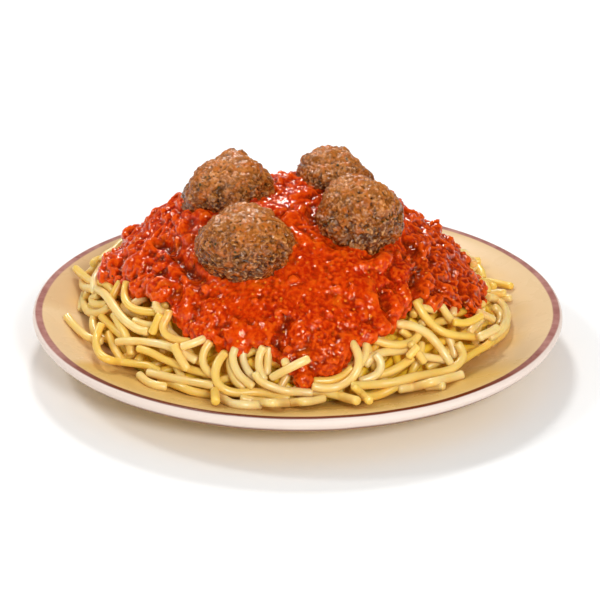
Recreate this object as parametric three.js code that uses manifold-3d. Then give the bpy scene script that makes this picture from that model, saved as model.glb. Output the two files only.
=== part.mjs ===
// Spaghetti with four meatballs in a chunky tomato sauce, heaped on a round plate.
// Millimetres, +Z up. The origin is on the table under the middle of the plate, and -Y is the front.

import * as THREE from 'three';
import Module from 'manifold-3d';
import { mergeVertices } from 'three/addons/utils/BufferGeometryUtils.js';

const wasm = await Module();
wasm.setup();

// Driving dimensions
const lipRadius = 119.8;
const lipHeight = 21.4;
const wellHeight = 9.8;
const footRingRadius = 68;
const heapHeight = 61;
const heapFoot = { front: 91, right: 92, back: 91, left: 96 };
const noodleRadius = 1.6;
const sauceThickness = 6.5;
const gap = 0.4;
const sliver = 0.1;
const plateSides = 48;

// A place on the heap is a bearing in degrees (0 front, 90 right, 180 back) and a rise,
// the distance up the slope from the foot of the heap, negative out on the plate.

// Sections of the plate as radius and height, from the middle outwards
const plateTopProfile = [
  [0, wellHeight],
  [70, wellHeight + 0.1],
  [80, wellHeight + 0.9],
  [90, wellHeight + 3],
  [100, wellHeight + 6.4],
  [108, lipHeight - 2.2],
  [114.5, lipHeight - 0.2],
  [118, lipHeight],
];
const plateUnderProfile = [
  [0, 2.5],
  [footRingRadius - 8, 2.5],
  [footRingRadius - 5.5, 0],
  [footRingRadius - 0.5, 0],
  [footRingRadius, 3.2],
  [112, lipHeight - 8.9],
  [117, lipHeight - 6.4],
  [lipRadius, lipHeight - 2.6],
  [lipRadius - 0.6, lipHeight - 0.7],
];

// Parts of the heap that swell out of its dome or sink into it
const swells = [
  { bearing: -106, radius: 48, spread: 17, height: 6.5 },
  { bearing: -90, radius: 88, spread: 8, height: 10 },
  { bearing: 98, radius: 62, spread: 24, height: -2.5 },
];

// The dome's section, and how softly it meets the plate
const domePower = 2.3;
const domeRoundness = 0.9;
const footBlend = 2.5;

// The edge of the sauce as bearing and rise, its lobes hanging down and bays between them
const sauceEdge = [
  [-165, 26], [-150, 20], [-138, 29], [-124, 22], [-110, 27], [-100, 16], [-88, 18.7], [-80, 21.6],
  [-72, 25.4], [-64, 28], [-57, 34.6], [-52, 35], [-48, 31.7], [-44, 27.7], [-40, 25.1], [-34, 22.8],
  [-30, 24.7], [-26, 22.5], [-22, 20.2], [-18, 24.5], [-12, 26], [-8, 21.9], [-4, 16], [2, 10],
  [6, 11], [10, 12.1], [14, 14], [18, 22.6], [25, 25], [32, 26], [37, 29.6], [42, 33.9],
  [47, 34.6], [54, 30], [60, 24], [68, 17.8], [78, 15.1], [86, 14.1], [95, 18], [106, 28],
  [118, 21], [130, 27], [144, 20], [158, 25], [172, 19], [183, 24],
];

// Noodles seen from the front: bearing, rise and heading of the start, then arcs of length and turn.
// A heading of 0 runs to the right along the foot and 90 runs up the slope.
const frontNoodles = [
  { start: [-86, 15, 215], arcs: [[22, 0], [22, 5]], tipLift: 3 },
  { start: [-98, -5, 70], arcs: [[36, -50], [40, -30], [14, 0]] },
  { start: [-98, -2, -30], arcs: [[10, 30], [13, 60], [22, 20]] },
  { start: [-80, -12, 28], arcs: [[26, 10]] },
  { start: [-71, 13, -105], arcs: [[8, 20], [9, 80], [30, 15], [12, 0]] },
  { start: [-60, 10, 20], arcs: [[30, -5]] },
  { start: [-52, 12, -5], arcs: [[40, 5]] },
  { start: [-44, 5, 0], arcs: [[36, 4]] },
  { start: [-47, -1, -35], arcs: [[24, 30]] },
  { start: [-40.5, 19.5, -35], arcs: [[16, -15]] },
  { start: [-74, 29, -70], arcs: [[12, 70], [22, 5]] },
  { start: [-56, 36, -75], arcs: [[7, 55], [10, 0]] },
  { start: [-48, 28, -88], arcs: [[11, 0]] },
  { start: [-46, 28, -100], arcs: [[5, 45], [7, 50], [12, 10]] },
  { start: [-36, 18, 33], arcs: [[12, 0]] },
  { start: [-28, 23, -110], arcs: [[14, 50]] },
  { start: [-21.5, 20, -115], arcs: [[12, 60], [8, 55], [26, 3]] },
  { start: [-18.5, 22, -105], arcs: [[8, 30], [10, 35]] },
  { start: [-16, 24, -110], arcs: [[8, 30], [9, 45]] },
  { start: [-11, 25, -95], arcs: [[14, 20]] },
  { start: [-12.5, 15, -70], arcs: [[14, 55], [16, 10]] },
  { start: [-16, -4, -10], arcs: [[30, 5], [16, 10]] },
  { start: [17.5, 25, -80], arcs: [[8, -20], [10, -60], [20, -35]] },
  { start: [24, 17, -70], arcs: [[6, -50], [8, -60]] },
  { start: [26, 25, -40], arcs: [[12, 30], [16, 30]] },
  { start: [36, 28.5, -12], arcs: [[12, -30], [12, -35], [8, -10]] },
  { start: [46, 34, -80], arcs: [[10, 20], [10, 25], [16, 8]] },
  { start: [56, 15, -80], arcs: [[5, -40], [7, -60], [66, -8]] },
  { start: [73, 5, -172], arcs: [[32, 0]] },
  { start: [36, 18, -70], arcs: [[11, 0]] },
  { start: [55.5, 27, -70], arcs: [[10, 0]] },
  { start: [58, 19.5, -5], arcs: [[30, -25]] },
  { start: [65, 10, -10], arcs: [[22, 0]] },
  { start: [93, 6, -115], arcs: [[10, -20], [16, -45], [14, 0]] },
  { start: [92, 16, -50], arcs: [[12, 10], [14, 15]], tipLift: 4 },
  { start: [27, -3, -10], arcs: [[28, -5]] },
  { start: [16, 6, -60], arcs: [[9, 0]] },
];

// Noodles drawn at random: a few under those, and more round the back, laid before them
const drawnNoodles = [
  { count: 5, from: -95, to: 95, rise: [2, 20] },
  { count: 26, from: 98, to: 262, rise: [0, 19] },
];
const drawnLength = [26, 46];
const drawnSlant = 34;
const drawnBend = 60;

// Each meatball's dents and humps, besides the ones drawn at random, are a direction,
// a height as a share of the radius, and a sharpness
const meatballs = [
  {
    name: 'meatball_front_left', radius: 20.6, centre: [-22.3, -41.5, 65.7], stretch: [1.06, 1, 0.83],
    dents: [[[-0.707, 0.28, 0.65], -0.15, 8], [[0.707, 0.28, 0.65], -0.13, 8], [[0, 0.4, 0.92], 0.05, 10]],
  },
  {
    name: 'meatball_back_left', radius: 20.2, centre: [-30.7, 2.9, 72.5], stretch: [0.94, 1, 0.82],
    dents: [[[-0.6, 0.32, 0.73], -0.1, 6], [[0.25, 0.39, 0.89], 0.06, 14]],
  },
  {
    name: 'meatball_front_right', radius: 19, centre: [26.8, -23.8, 71.5], stretch: [0.97, 1, 0.94],
    dents: [[[0.6, 0.32, 0.73], -0.24, 12], [[-0.25, 0.39, 0.89], 0.05, 12]],
  },
  {
    name: 'meatball_back_right', radius: 18.6, centre: [16.7, 18.5, 71.9], stretch: [0.95, 1, 0.83],
    dents: [[[0.77, 0.26, 0.59], -0.13, 10]],
  },
];

const degree = Math.PI / 180;

// Numbers from 0 to 1 that look random and repeat on every run
function makeRandom(seed) {
  let state = seed;
  return (low = 0, high = 1) => {
    state = (Math.imul(state, 1664525) + 1013904223) >>> 0;
    return low + (high - low) * (state / 4294967296);
  };
}

function interpolate(points, x) {
  for (let i = 1; i < points.length; i += 1) {
    const [x0, y0] = points[i - 1];
    const [x1, y1] = points[i];
    if (x <= x1) return y0 + (y1 - y0) * (x - x0) / (x1 - x0);
  }
  return points[points.length - 1][1];
}

function plateTop(radius) {
  return interpolate(plateTopProfile, radius);
}

function footRadius(bearing) {
  const { front, right, back, left } = heapFoot;
  const angle = bearing * degree;
  const mean = (front + right + back + left) / 4;
  return mean + (right - left) / 2 * Math.sin(angle) + (front - back) / 2 * Math.cos(angle)
    + (front + back - right - left) / 4 * Math.cos(2 * angle);
}

// Height of the heap's bare surface, which runs out smoothly on to the plate
function heapTop(bearing, radius) {
  const share = 1 - (radius / footRadius(bearing)) ** domePower;
  let dome = wellHeight + heapHeight * Math.sign(share) * Math.abs(share) ** domeRoundness;
  const x = radius * Math.sin(bearing * degree);
  const y = -radius * Math.cos(bearing * degree);
  for (const swell of swells) {
    const dx = x - swell.radius * Math.sin(swell.bearing * degree);
    const dy = y + swell.radius * Math.cos(swell.bearing * degree);
    dome += swell.height * Math.exp(-(dx * dx + dy * dy) / (2 * swell.spread ** 2));
  }
  const plate = plateTop(radius);
  const top = Math.max(dome, plate);
  const sum = Math.exp((dome - top) / footBlend) + Math.exp((plate - top) / footBlend);
  return top + footBlend * Math.log(sum);
}

// The heap's section at each whole degree, as radius and height at each millimetre of rise
const lowestRise = -24;
const radiusStep = 0.25;
const outermost = plateTopProfile[plateTopProfile.length - 1][0];
const sections = [];
for (let bearing = 0; bearing < 360; bearing += 1) {
  const radii = [];
  const heights = [];
  const lengths = [];
  for (let radius = 0; radius <= outermost; radius += radiusStep) {
    const height = heapTop(bearing, radius);
    const last = heights.length - 1;
    lengths.push(last < 0 ? 0 : lengths[last] + Math.hypot(radiusStep, height - heights[last]));
    radii.push(radius);
    heights.push(height);
  }
  const toFoot = interpolate(radii.map((radius, i) => [radius, lengths[i]]), footRadius(bearing));
  const section = { top: toFoot, radius: [], height: [] };
  let i = radii.length - 1;
  for (let rise = lowestRise; rise < toFoot; rise += 1) {
    const wanted = Math.min(toFoot - rise, lengths[lengths.length - 1]);
    while (i > 1 && lengths[i - 1] > wanted) i -= 1;
    const share = (wanted - lengths[i - 1]) / (lengths[i] - lengths[i - 1]);
    section.radius.push(radii[i - 1] + share * radiusStep);
    section.height.push(heights[i - 1] + share * (heights[i] - heights[i - 1]));
  }
  section.radius.push(0);
  section.height.push(heights[0]);
  sections.push(section);
}

// Rise of the heap's top, the whole length of the slope at a bearing
function topRise(bearing) {
  const wrapped = ((bearing % 360) + 360) % 360;
  const low = Math.floor(wrapped);
  const share = wrapped - low;
  return sections[low].top * (1 - share) + sections[(low + 1) % 360].top * share;
}

// Radius and height of the heap's bare surface at a place
function sectionAt(bearing, rise) {
  const wrapped = ((bearing % 360) + 360) % 360;
  const low = Math.floor(wrapped);
  const share = wrapped - low;
  const at = [0, 0];
  for (const [section, weight] of [[sections[low], 1 - share], [sections[(low + 1) % 360], share]]) {
    const step = Math.min(Math.max(rise - lowestRise, 0), section.radius.length - 1.001);
    const cell = Math.floor(step);
    const part = step - cell;
    at[0] += weight * (section.radius[cell] * (1 - part) + section.radius[cell + 1] * part);
    at[1] += weight * (section.height[cell] * (1 - part) + section.height[cell + 1] * part);
  }
  return at;
}

function pointAt(bearing, radius, height) {
  const angle = bearing * degree;
  return new THREE.Vector3(radius * Math.sin(angle), -radius * Math.cos(angle), height);
}

function surfaceAt(bearing, rise) {
  const [radius, height] = sectionAt(bearing, rise);
  return pointAt(bearing, radius, height);
}

// A point lifted off the heap's bare surface along its normal
function onHeap(bearing, rise, lift) {
  const along = surfaceAt(bearing + 1, rise).sub(surfaceAt(bearing - 1, rise));
  const up = surfaceAt(bearing, rise + 1).sub(surfaceAt(bearing, rise - 1));
  const normal = along.cross(up).normalize();
  return surfaceAt(bearing, rise).addScaledVector(normal, lift);
}

// Rise of the sauce's edge, a smooth curve through the listed points
function edgeRise(bearing) {
  const count = sauceEdge.length;
  let wrapped = bearing;
  while (wrapped < sauceEdge[0][0]) wrapped += 360;
  while (wrapped >= sauceEdge[0][0] + 360) wrapped -= 360;
  let i = 0;
  while (i < count - 1 && sauceEdge[i + 1][0] <= wrapped) i += 1;
  const at = (k) => {
    const turns = Math.floor(k / count);
    const [angle, rise] = sauceEdge[((k % count) + count) % count];
    return [angle + 360 * turns, rise];
  };
  const [before, start, end, after] = [at(i - 1), at(i), at(i + 1), at(i + 2)];
  const t = (wrapped - start[0]) / (end[0] - start[0]);
  const slopeIn = (end[1] - before[1]) / (end[0] - before[0]) * (end[0] - start[0]);
  const slopeOut = (after[1] - start[1]) / (after[0] - start[0]) * (end[0] - start[0]);
  return start[1] * (2 * t ** 3 - 3 * t ** 2 + 1) + slopeIn * (t ** 3 - 2 * t ** 2 + t)
    + end[1] * (3 * t ** 2 - 2 * t ** 3) + slopeOut * (t ** 3 - t ** 2);
}

// Solids, geometries and booleans

function toSolid(geometry) {
  const bare = geometry.clone();
  bare.deleteAttribute('normal');
  bare.deleteAttribute('uv');
  const merged = mergeVertices(bare, 1e-5);
  return new wasm.Manifold(new wasm.Mesh({
    numProp: 3,
    vertProperties: new Float32Array(merged.attributes.position.array),
    triVerts: new Uint32Array(merged.index.array),
  }));
}

function toGeometry(solid) {
  const mesh = solid.getMesh();
  const geometry = new THREE.BufferGeometry();
  geometry.setAttribute('position', new THREE.BufferAttribute(new Float32Array(mesh.vertProperties), 3));
  geometry.setIndex(new THREE.BufferAttribute(new Uint32Array(mesh.triVerts), 1));
  return geometry;
}

// The biggest body of a solid, without loose scraps or slivers
function mainBody(solid) {
  const bodies = solid.simplify(sliver).decompose();
  return bodies.reduce((best, body) => (body.volume() > best.volume() ? body : best));
}

// A closed body between two poles, skinned over rings of equally many points.
// The rings run from the top pole to the bottom pole, and each turns with the bearing.
function ringBody(topPole, rings, bottomPole) {
  const sides = rings[0].length;
  const points = [topPole, ...rings.flat(), bottomPole];
  const index = [];
  const at = (ring, side) => 1 + ring * sides + (side % sides);
  for (let side = 0; side < sides; side += 1) {
    index.push(0, at(0, side), at(0, side + 1));
    for (let ring = 0; ring + 1 < rings.length; ring += 1) {
      const upper = [at(ring, side), at(ring, side + 1)];
      const lower = [at(ring + 1, side), at(ring + 1, side + 1)];
      index.push(upper[0], lower[0], upper[1], upper[1], lower[0], lower[1]);
    }
    index.push(points.length - 1, at(rings.length - 1, side + 1), at(rings.length - 1, side));
  }
  const geometry = new THREE.BufferGeometry().setFromPoints(points);
  geometry.setIndex(index);
  return geometry;
}

// Plate

function makePlate() {
  const profile = [...plateUnderProfile, ...plateTopProfile.slice().reverse()];
  const points = profile.map(([radius, height]) => new THREE.Vector2(radius, height));
  return new THREE.LatheGeometry(points, plateSides).rotateX(Math.PI / 2);
}

// The heap under the noodles and the sauce, a little above the plate.
// Its rings lie at shares of the way up the slope, and under it at shares of the foot's radius.

const coreSides = 36;
const coreRings = [0.86, 0.68, 0.52, 0.38, 0.26, 0.16, 0.08, 0.02];
const underRings = [0.99, 0.82];

function makeCore(lift) {
  const rings = coreRings.map((share) => {
    const ring = [];
    for (let side = 0; side < coreSides; side += 1) {
      const bearing = side * 360 / coreSides;
      ring.push(onHeap(bearing, share * topRise(bearing), lift));
    }
    return ring;
  });
  for (const share of underRings) {
    const ring = [];
    for (let side = 0; side < coreSides; side += 1) {
      const bearing = side * 360 / coreSides;
      const radius = share * footRadius(bearing) + lift;
      ring.push(pointAt(bearing, radius, plateTop(radius) + gap));
    }
    rings.push(ring);
  }
  const top = surfaceAt(0, topRise(0)).setX(0).setY(0);
  top.z += lift;
  const bottom = new THREE.Vector3(0, 0, wellHeight + gap);
  return toSolid(ringBody(top, rings, bottom));
}

// Noodles

// Places along a noodle, from its start and its arcs
function walk(noodle) {
  let [bearing, rise, heading] = noodle.start;
  const places = [{ bearing, rise }];
  for (const [length, bend] of noodle.arcs) {
    const steps = Math.max(1, Math.round(length));
    for (let step = 0; step < steps; step += 1) {
      heading += bend / steps / 2;
      const [radius] = sectionAt(bearing, rise);
      bearing += length / steps * Math.cos(heading * degree) / radius / degree;
      rise += length / steps * Math.sin(heading * degree);
      heading += bend / steps / 2;
      places.push({ bearing, rise });
    }
  }
  return places;
}

// The longest stretch of a noodle that stays clear of the sauce and of the plate's slope
const lowestNoodle = -12;
const sauceClearance = 1.3;

function clearStretch(places) {
  const reach = noodleRadius + sauceClearance;
  const isClear = ({ bearing, rise }) => {
    const [radius] = sectionAt(bearing, rise);
    const side = reach / radius / degree;
    const lowest = Math.min(edgeRise(bearing), edgeRise(bearing - side), edgeRise(bearing + side));
    return rise > lowestNoodle && rise + reach < lowest;
  };
  let best = [];
  let run = [];
  for (const place of places) {
    run = isClear(place) ? [...run, place] : [];
    if (run.length > best.length) best = run;
  }
  return best;
}

// The height over the bare heap of what lies on it, in cells of bearing and rise.
// A noodle sinks a little into the bare slope, which starts at a rise and blends in over a stretch,
// and lies clear of the plate.
const cellDegrees = 1 / 3;
const cellRise = 0.5;
const cellColumns = 360 / cellDegrees;
const cellRows = 140;
const sunkenRadius = 0.45 * noodleRadius;
const slopeStart = -2;
const slopeBlend = 5;
const pile = new Float32Array(cellColumns * cellRows);
for (let column = 0; column < cellColumns; column += 1) {
  for (let row = 0; row < cellRows; row += 1) {
    const rise = lowestRise + row * cellRise;
    const onSlope = Math.min(Math.max((rise - slopeStart) / slopeBlend, 0), 1);
    pile[column * cellRows + row] = gap * (1 - onSlope) - sunkenRadius * onSlope;
  }
}

// Calls a function with each cell within a radius of a place, and its distance
function eachCellNear({ bearing, rise }, reach, visit) {
  const [radius] = sectionAt(bearing, rise);
  const cellWidth = cellDegrees * degree * radius;
  const column = Math.round(bearing / cellDegrees);
  const row = Math.round((rise - lowestRise) / cellRise);
  const columns = Math.ceil(reach / cellWidth);
  const rows = Math.ceil(reach / cellRise);
  for (let i = -columns; i <= columns; i += 1) {
    for (let j = -rows; j <= rows; j += 1) {
      const distance = Math.hypot(i * cellWidth, j * cellRise);
      if (distance < reach && row + j >= 0 && row + j < cellRows) {
        const wrapped = ((column + i) % cellColumns + cellColumns) % cellColumns;
        visit(wrapped * cellRows + row + j, distance);
      }
    }
  }
}

// Lays a noodle on the pile: it rests on what is there, arches over it and adds to it.
// A lifted tip rises over its last stretch.
const stiffness = 0.035;
const pressedRadius = 0.82 * noodleRadius;
const liftedStretch = 18;

function layNoodle(places, tipLift) {
  const resting = places.map((place) => {
    let lift = -Infinity;
    eachCellNear(place, noodleRadius, (cell, distance) => {
      lift = Math.max(lift, pile[cell] + Math.sqrt(noodleRadius ** 2 - distance ** 2));
    });
    return lift;
  });
  const arched = resting.map((_, i) => {
    const held = resting.map((lift, k) => lift - stiffness * (i - k) ** 2);
    return Math.max(...held);
  });
  const points = places.map(({ bearing, rise }, i) => {
    const tip = Math.max(0, 1 - (places.length - 1 - i) / liftedStretch);
    return onHeap(bearing, rise, arched[i] + tipLift * tip ** 2);
  });
  places.forEach((place, i) => {
    eachCellNear(place, pressedRadius, (cell, distance) => {
      pile[cell] = Math.max(pile[cell], arched[i] + Math.sqrt(pressedRadius ** 2 - distance ** 2));
    });
  });
  return points;
}

const noodleSides = 5;
const noodleStep = 6;
const shortestNoodle = 9;
const girth = [0.94, 1.06];
const fewestSteps = 3;

function makeNoodle(points, radius) {
  const section = new THREE.Shape();
  for (let side = 0; side < noodleSides; side += 1) {
    const angle = 2 * Math.PI * side / noodleSides;
    const corner = [radius * Math.cos(angle), radius * Math.sin(angle)];
    if (side === 0) section.moveTo(...corner);
    else section.lineTo(...corner);
  }
  section.closePath();
  const knots = [];
  const count = Math.max(fewestSteps, Math.round(points.length / noodleStep));
  for (let i = 0; i <= count; i += 1) {
    knots.push(points[Math.round(i * (points.length - 1) / count)]);
  }
  const extrudePath = new THREE.CatmullRomCurve3(knots);
  const options = { steps: count, extrudePath, bevelEnabled: false };
  return toSolid(new THREE.ExtrudeGeometry(section, options));
}

function drawNoodles() {
  const random = makeRandom(7);
  const noodles = [];
  for (const { count, from, to, rise } of drawnNoodles) {
    for (let i = 0; i < count; i += 1) {
      const bearing = from + (to - from) * (i + random()) / count;
      const heading = random(-drawnSlant, drawnSlant) + (random() < 0.5 ? 180 : 0);
      const arcs = [[random(...drawnLength), random(-drawnBend, drawnBend)]];
      noodles.push({ start: [bearing, random(...rise), heading], arcs });
    }
  }
  return noodles;
}

function makeSpaghetti() {
  let heap = makeCore(0);
  const random = makeRandom(3);
  for (const noodle of [...drawNoodles(), ...frontNoodles]) {
    const places = clearStretch(walk(noodle));
    if (places.length >= shortestNoodle) {
      const radius = noodleRadius * random(...girth);
      heap = heap.add(makeNoodle(layNoodle(places, noodle.tipLift ?? 0), radius));
    }
  }
  return heap;
}

// Sauce

// Lumps of tomato in the sauce, drawn at random all over it, and the layer that they make together.
// The edge starts a little under the bare surface, and the rings lie at shares of the way to the top.
const lumpCount = 110;
const lumpLayer = 1.6;
const lumpSpread = [3, 6.5];
const lumpHeight = [0.8, 2.8];
const highestLump = 0.95;
const sunkenEdge = 1;
const sauceSides = 64;
const sauceShares = [0.9, 0.76, 0.63, 0.51, 0.4, 0.3, 0.21, 0.13, 0.06, 0];

function drawLumps() {
  const random = makeRandom(23);
  const lumps = [];
  for (let i = 0; i < lumpCount; i += 1) {
    const bearing = random(0, 360);
    const top = topRise(bearing);
    const edge = edgeRise(bearing);
    const rise = edge + (top - edge) * (1 - Math.sqrt(random())) * highestLump;
    const spread = random(...lumpSpread);
    lumps.push({ centre: surfaceAt(bearing, rise), spread, height: random(...lumpHeight) });
  }
  return lumps;
}

const lumps = drawLumps();

function sauceLift(bearing, rise) {
  const inside = (rise - edgeRise(bearing)) / sauceThickness;
  const rounding = Math.sqrt(Math.max(0, 1 - (1 - Math.min(inside, 1)) ** 2));
  const place = surfaceAt(bearing, rise);
  let lump = 0;
  for (const { centre, spread, height } of lumps) {
    lump += height * Math.exp(-place.distanceToSquared(centre) / (2 * spread ** 2));
  }
  return (sauceThickness + sunkenEdge + lump - lumpLayer) * rounding - sunkenEdge;
}

function makeSauce(core) {
  const rings = sauceShares.map((share) => {
    const ring = [];
    for (let side = 0; side < sauceSides; side += 1) {
      const bearing = side * 360 / sauceSides;
      const edge = edgeRise(bearing);
      const rise = edge + share * (topRise(bearing) - edge);
      ring.push(onHeap(bearing, rise, sauceLift(bearing, rise)));
    }
    return ring;
  });
  const top = surfaceAt(0, topRise(0)).setX(0).setY(0);
  top.z += sauceLift(0, topRise(0));
  const inside = new THREE.Vector3(0, 0, heapHeight / 2);
  return toSolid(ringBody(top, rings, inside)).subtract(core);
}

// Meatballs

const meatballBumps = 34;
const meatballDetail = 3;
const bumpHeight = 0.1;
const bumpSharpness = [6, 26];

function makeMeatball({ radius, centre, stretch, dents }, seed) {
  const random = makeRandom(seed);
  const bumps = dents.map(([way, height, sharpness]) => (
    { direction: new THREE.Vector3(...way).normalize(), height, sharpness }));
  for (let i = 0; i < meatballBumps; i += 1) {
    const direction = new THREE.Vector3(random(-1, 1), random(-1, 1), random(-1, 1)).normalize();
    const height = random(-bumpHeight, bumpHeight);
    bumps.push({ direction, height, sharpness: random(...bumpSharpness) });
  }
  const geometry = new THREE.IcosahedronGeometry(1, meatballDetail);
  const position = geometry.attributes.position;
  const point = new THREE.Vector3();
  for (let i = 0; i < position.count; i += 1) {
    point.fromBufferAttribute(position, i).normalize();
    let swell = 1;
    for (const { direction, height, sharpness } of bumps) {
      swell += height * Math.exp(sharpness * (point.dot(direction) - 1));
    }
    point.multiplyScalar(swell * radius);
    point.set(point.x * stretch[0], point.y * stretch[1], point.z * stretch[2]);
    position.setXYZ(i, point.x, point.y, point.z);
  }
  return geometry.translate(...centre);
}

// A meatball's hollow in its neighbours: the meatball grown about its centre
function grown(geometry, centre, radius) {
  const scale = (radius + gap) / radius;
  const centred = geometry.clone().translate(...centre.map((value) => -value));
  return toSolid(centred.scale(scale, scale, scale).translate(...centre));
}

// Materials

const finish = (color, roughness) => new THREE.MeshStandardMaterial({ color, roughness, metalness: 0 });
const plateFinish = finish('#eccfa6', 0.25);
const noodleFinish = finish('#efd27f', 0.45);
const sauceFinish = finish('#cf3a12', 0.3);
const meatFinish = finish('#8a5a38', 0.6);

// Assembly

const dish = new THREE.Group();

function addPiece(name, geometry, material) {
  const mesh = new THREE.Mesh(geometry, material);
  mesh.name = name;
  dish.add(mesh);
}

let spaghetti = makeSpaghetti();
let sauce = makeSauce(makeCore(gap));
meatballs.forEach((meatball, i) => {
  const geometry = makeMeatball(meatball, 101 + i);
  const hollow = grown(geometry, meatball.centre, meatball.radius);
  spaghetti = spaghetti.subtract(hollow);
  sauce = sauce.subtract(hollow);
  addPiece(meatball.name, geometry, meatFinish);
});
addPiece('plate', makePlate(), plateFinish);
addPiece('spaghetti', toGeometry(mainBody(spaghetti)), noodleFinish);
addPiece('sauce', toGeometry(mainBody(sauce)), sauceFinish);

export default dish;
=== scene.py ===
# Spaghetti with four meatballs in a chunky tomato sauce, heaped on a round plate.
# The making is in millimetres, and each mesh goes into metres when it is added.

import itertools
import math

import bpy
import numpy as np
from mathutils import Matrix, Vector


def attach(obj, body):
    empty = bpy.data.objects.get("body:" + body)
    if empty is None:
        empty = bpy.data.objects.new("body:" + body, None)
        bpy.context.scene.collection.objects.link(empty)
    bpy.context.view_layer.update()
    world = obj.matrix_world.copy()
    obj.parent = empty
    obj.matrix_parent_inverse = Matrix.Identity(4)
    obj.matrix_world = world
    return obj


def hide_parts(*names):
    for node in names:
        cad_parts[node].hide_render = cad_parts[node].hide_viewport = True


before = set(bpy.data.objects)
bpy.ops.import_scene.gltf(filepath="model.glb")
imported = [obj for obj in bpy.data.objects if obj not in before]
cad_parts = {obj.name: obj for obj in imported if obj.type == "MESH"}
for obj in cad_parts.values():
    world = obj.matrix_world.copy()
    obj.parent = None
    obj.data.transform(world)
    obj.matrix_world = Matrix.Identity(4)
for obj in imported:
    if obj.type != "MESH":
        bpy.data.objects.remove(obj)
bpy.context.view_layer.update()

# Sizes that the frame is built with

WELL_HEIGHT = 9.8
LIP_HEIGHT = 21.4
LIP_RADIUS = 119.8
FOOT_RING = 68
HEAP_HEIGHT = 61
FOOT_FRONT, FOOT_RIGHT, FOOT_BACK, FOOT_LEFT = 91, 92, 91, 96
NOODLE_RADIUS = 1.6
SAUCE_THICKNESS = 6.5
GAP = 0.4
DEGREE = math.pi / 180
METRE = 1000

PLATE_TOP = [
    (0, WELL_HEIGHT), (70, WELL_HEIGHT + 0.1), (80, WELL_HEIGHT + 0.9), (90, WELL_HEIGHT + 3),
    (100, WELL_HEIGHT + 6.4), (108, LIP_HEIGHT - 2.2), (114.5, LIP_HEIGHT - 0.2), (118, LIP_HEIGHT),
]
PLATE_UNDER = [
    (0, 2.5), (FOOT_RING - 8, 2.5), (FOOT_RING - 5.5, 0), (FOOT_RING - 0.5, 0), (FOOT_RING, 3.2),
    (112, LIP_HEIGHT - 8.9), (117, LIP_HEIGHT - 6.4), (LIP_RADIUS, LIP_HEIGHT - 2.6),
    (LIP_RADIUS - 0.6, LIP_HEIGHT - 0.7),
]

# Swells of the heap: bearing, radius, spread and height
SWELLS = [(-106, 48, 17, 6.5), (-90, 88, 8, 10), (98, 62, 24, -2.5)]
DOME_POWER, DOME_ROUNDNESS, FOOT_BLEND = 2.3, 0.9, 2.5

# The sauce's edge as bearing and rise: the rise is the distance up the slope from the heap's foot
SAUCE_EDGE = [
    (-165, 26), (-150, 20), (-138, 29), (-124, 22), (-110, 27), (-100, 16), (-88, 18.7), (-80, 21.6),
    (-72, 25.4), (-64, 28), (-57, 34.6), (-52, 35), (-48, 31.7), (-44, 27.7), (-40, 25.1), (-34, 22.8),
    (-30, 24.7), (-26, 22.5), (-22, 20.2), (-18, 24.5), (-12, 26), (-8, 21.9), (-4, 16), (2, 10),
    (6, 11), (10, 12.1), (14, 14), (18, 22.6), (25, 25), (32, 26), (37, 29.6), (42, 33.9),
    (47, 34.6), (54, 30), (60, 24), (68, 17.8), (78, 15.1), (86, 14.1), (95, 18), (106, 28),
    (118, 21), (130, 27), (144, 20), (158, 25), (172, 19), (183, 24),
]

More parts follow.
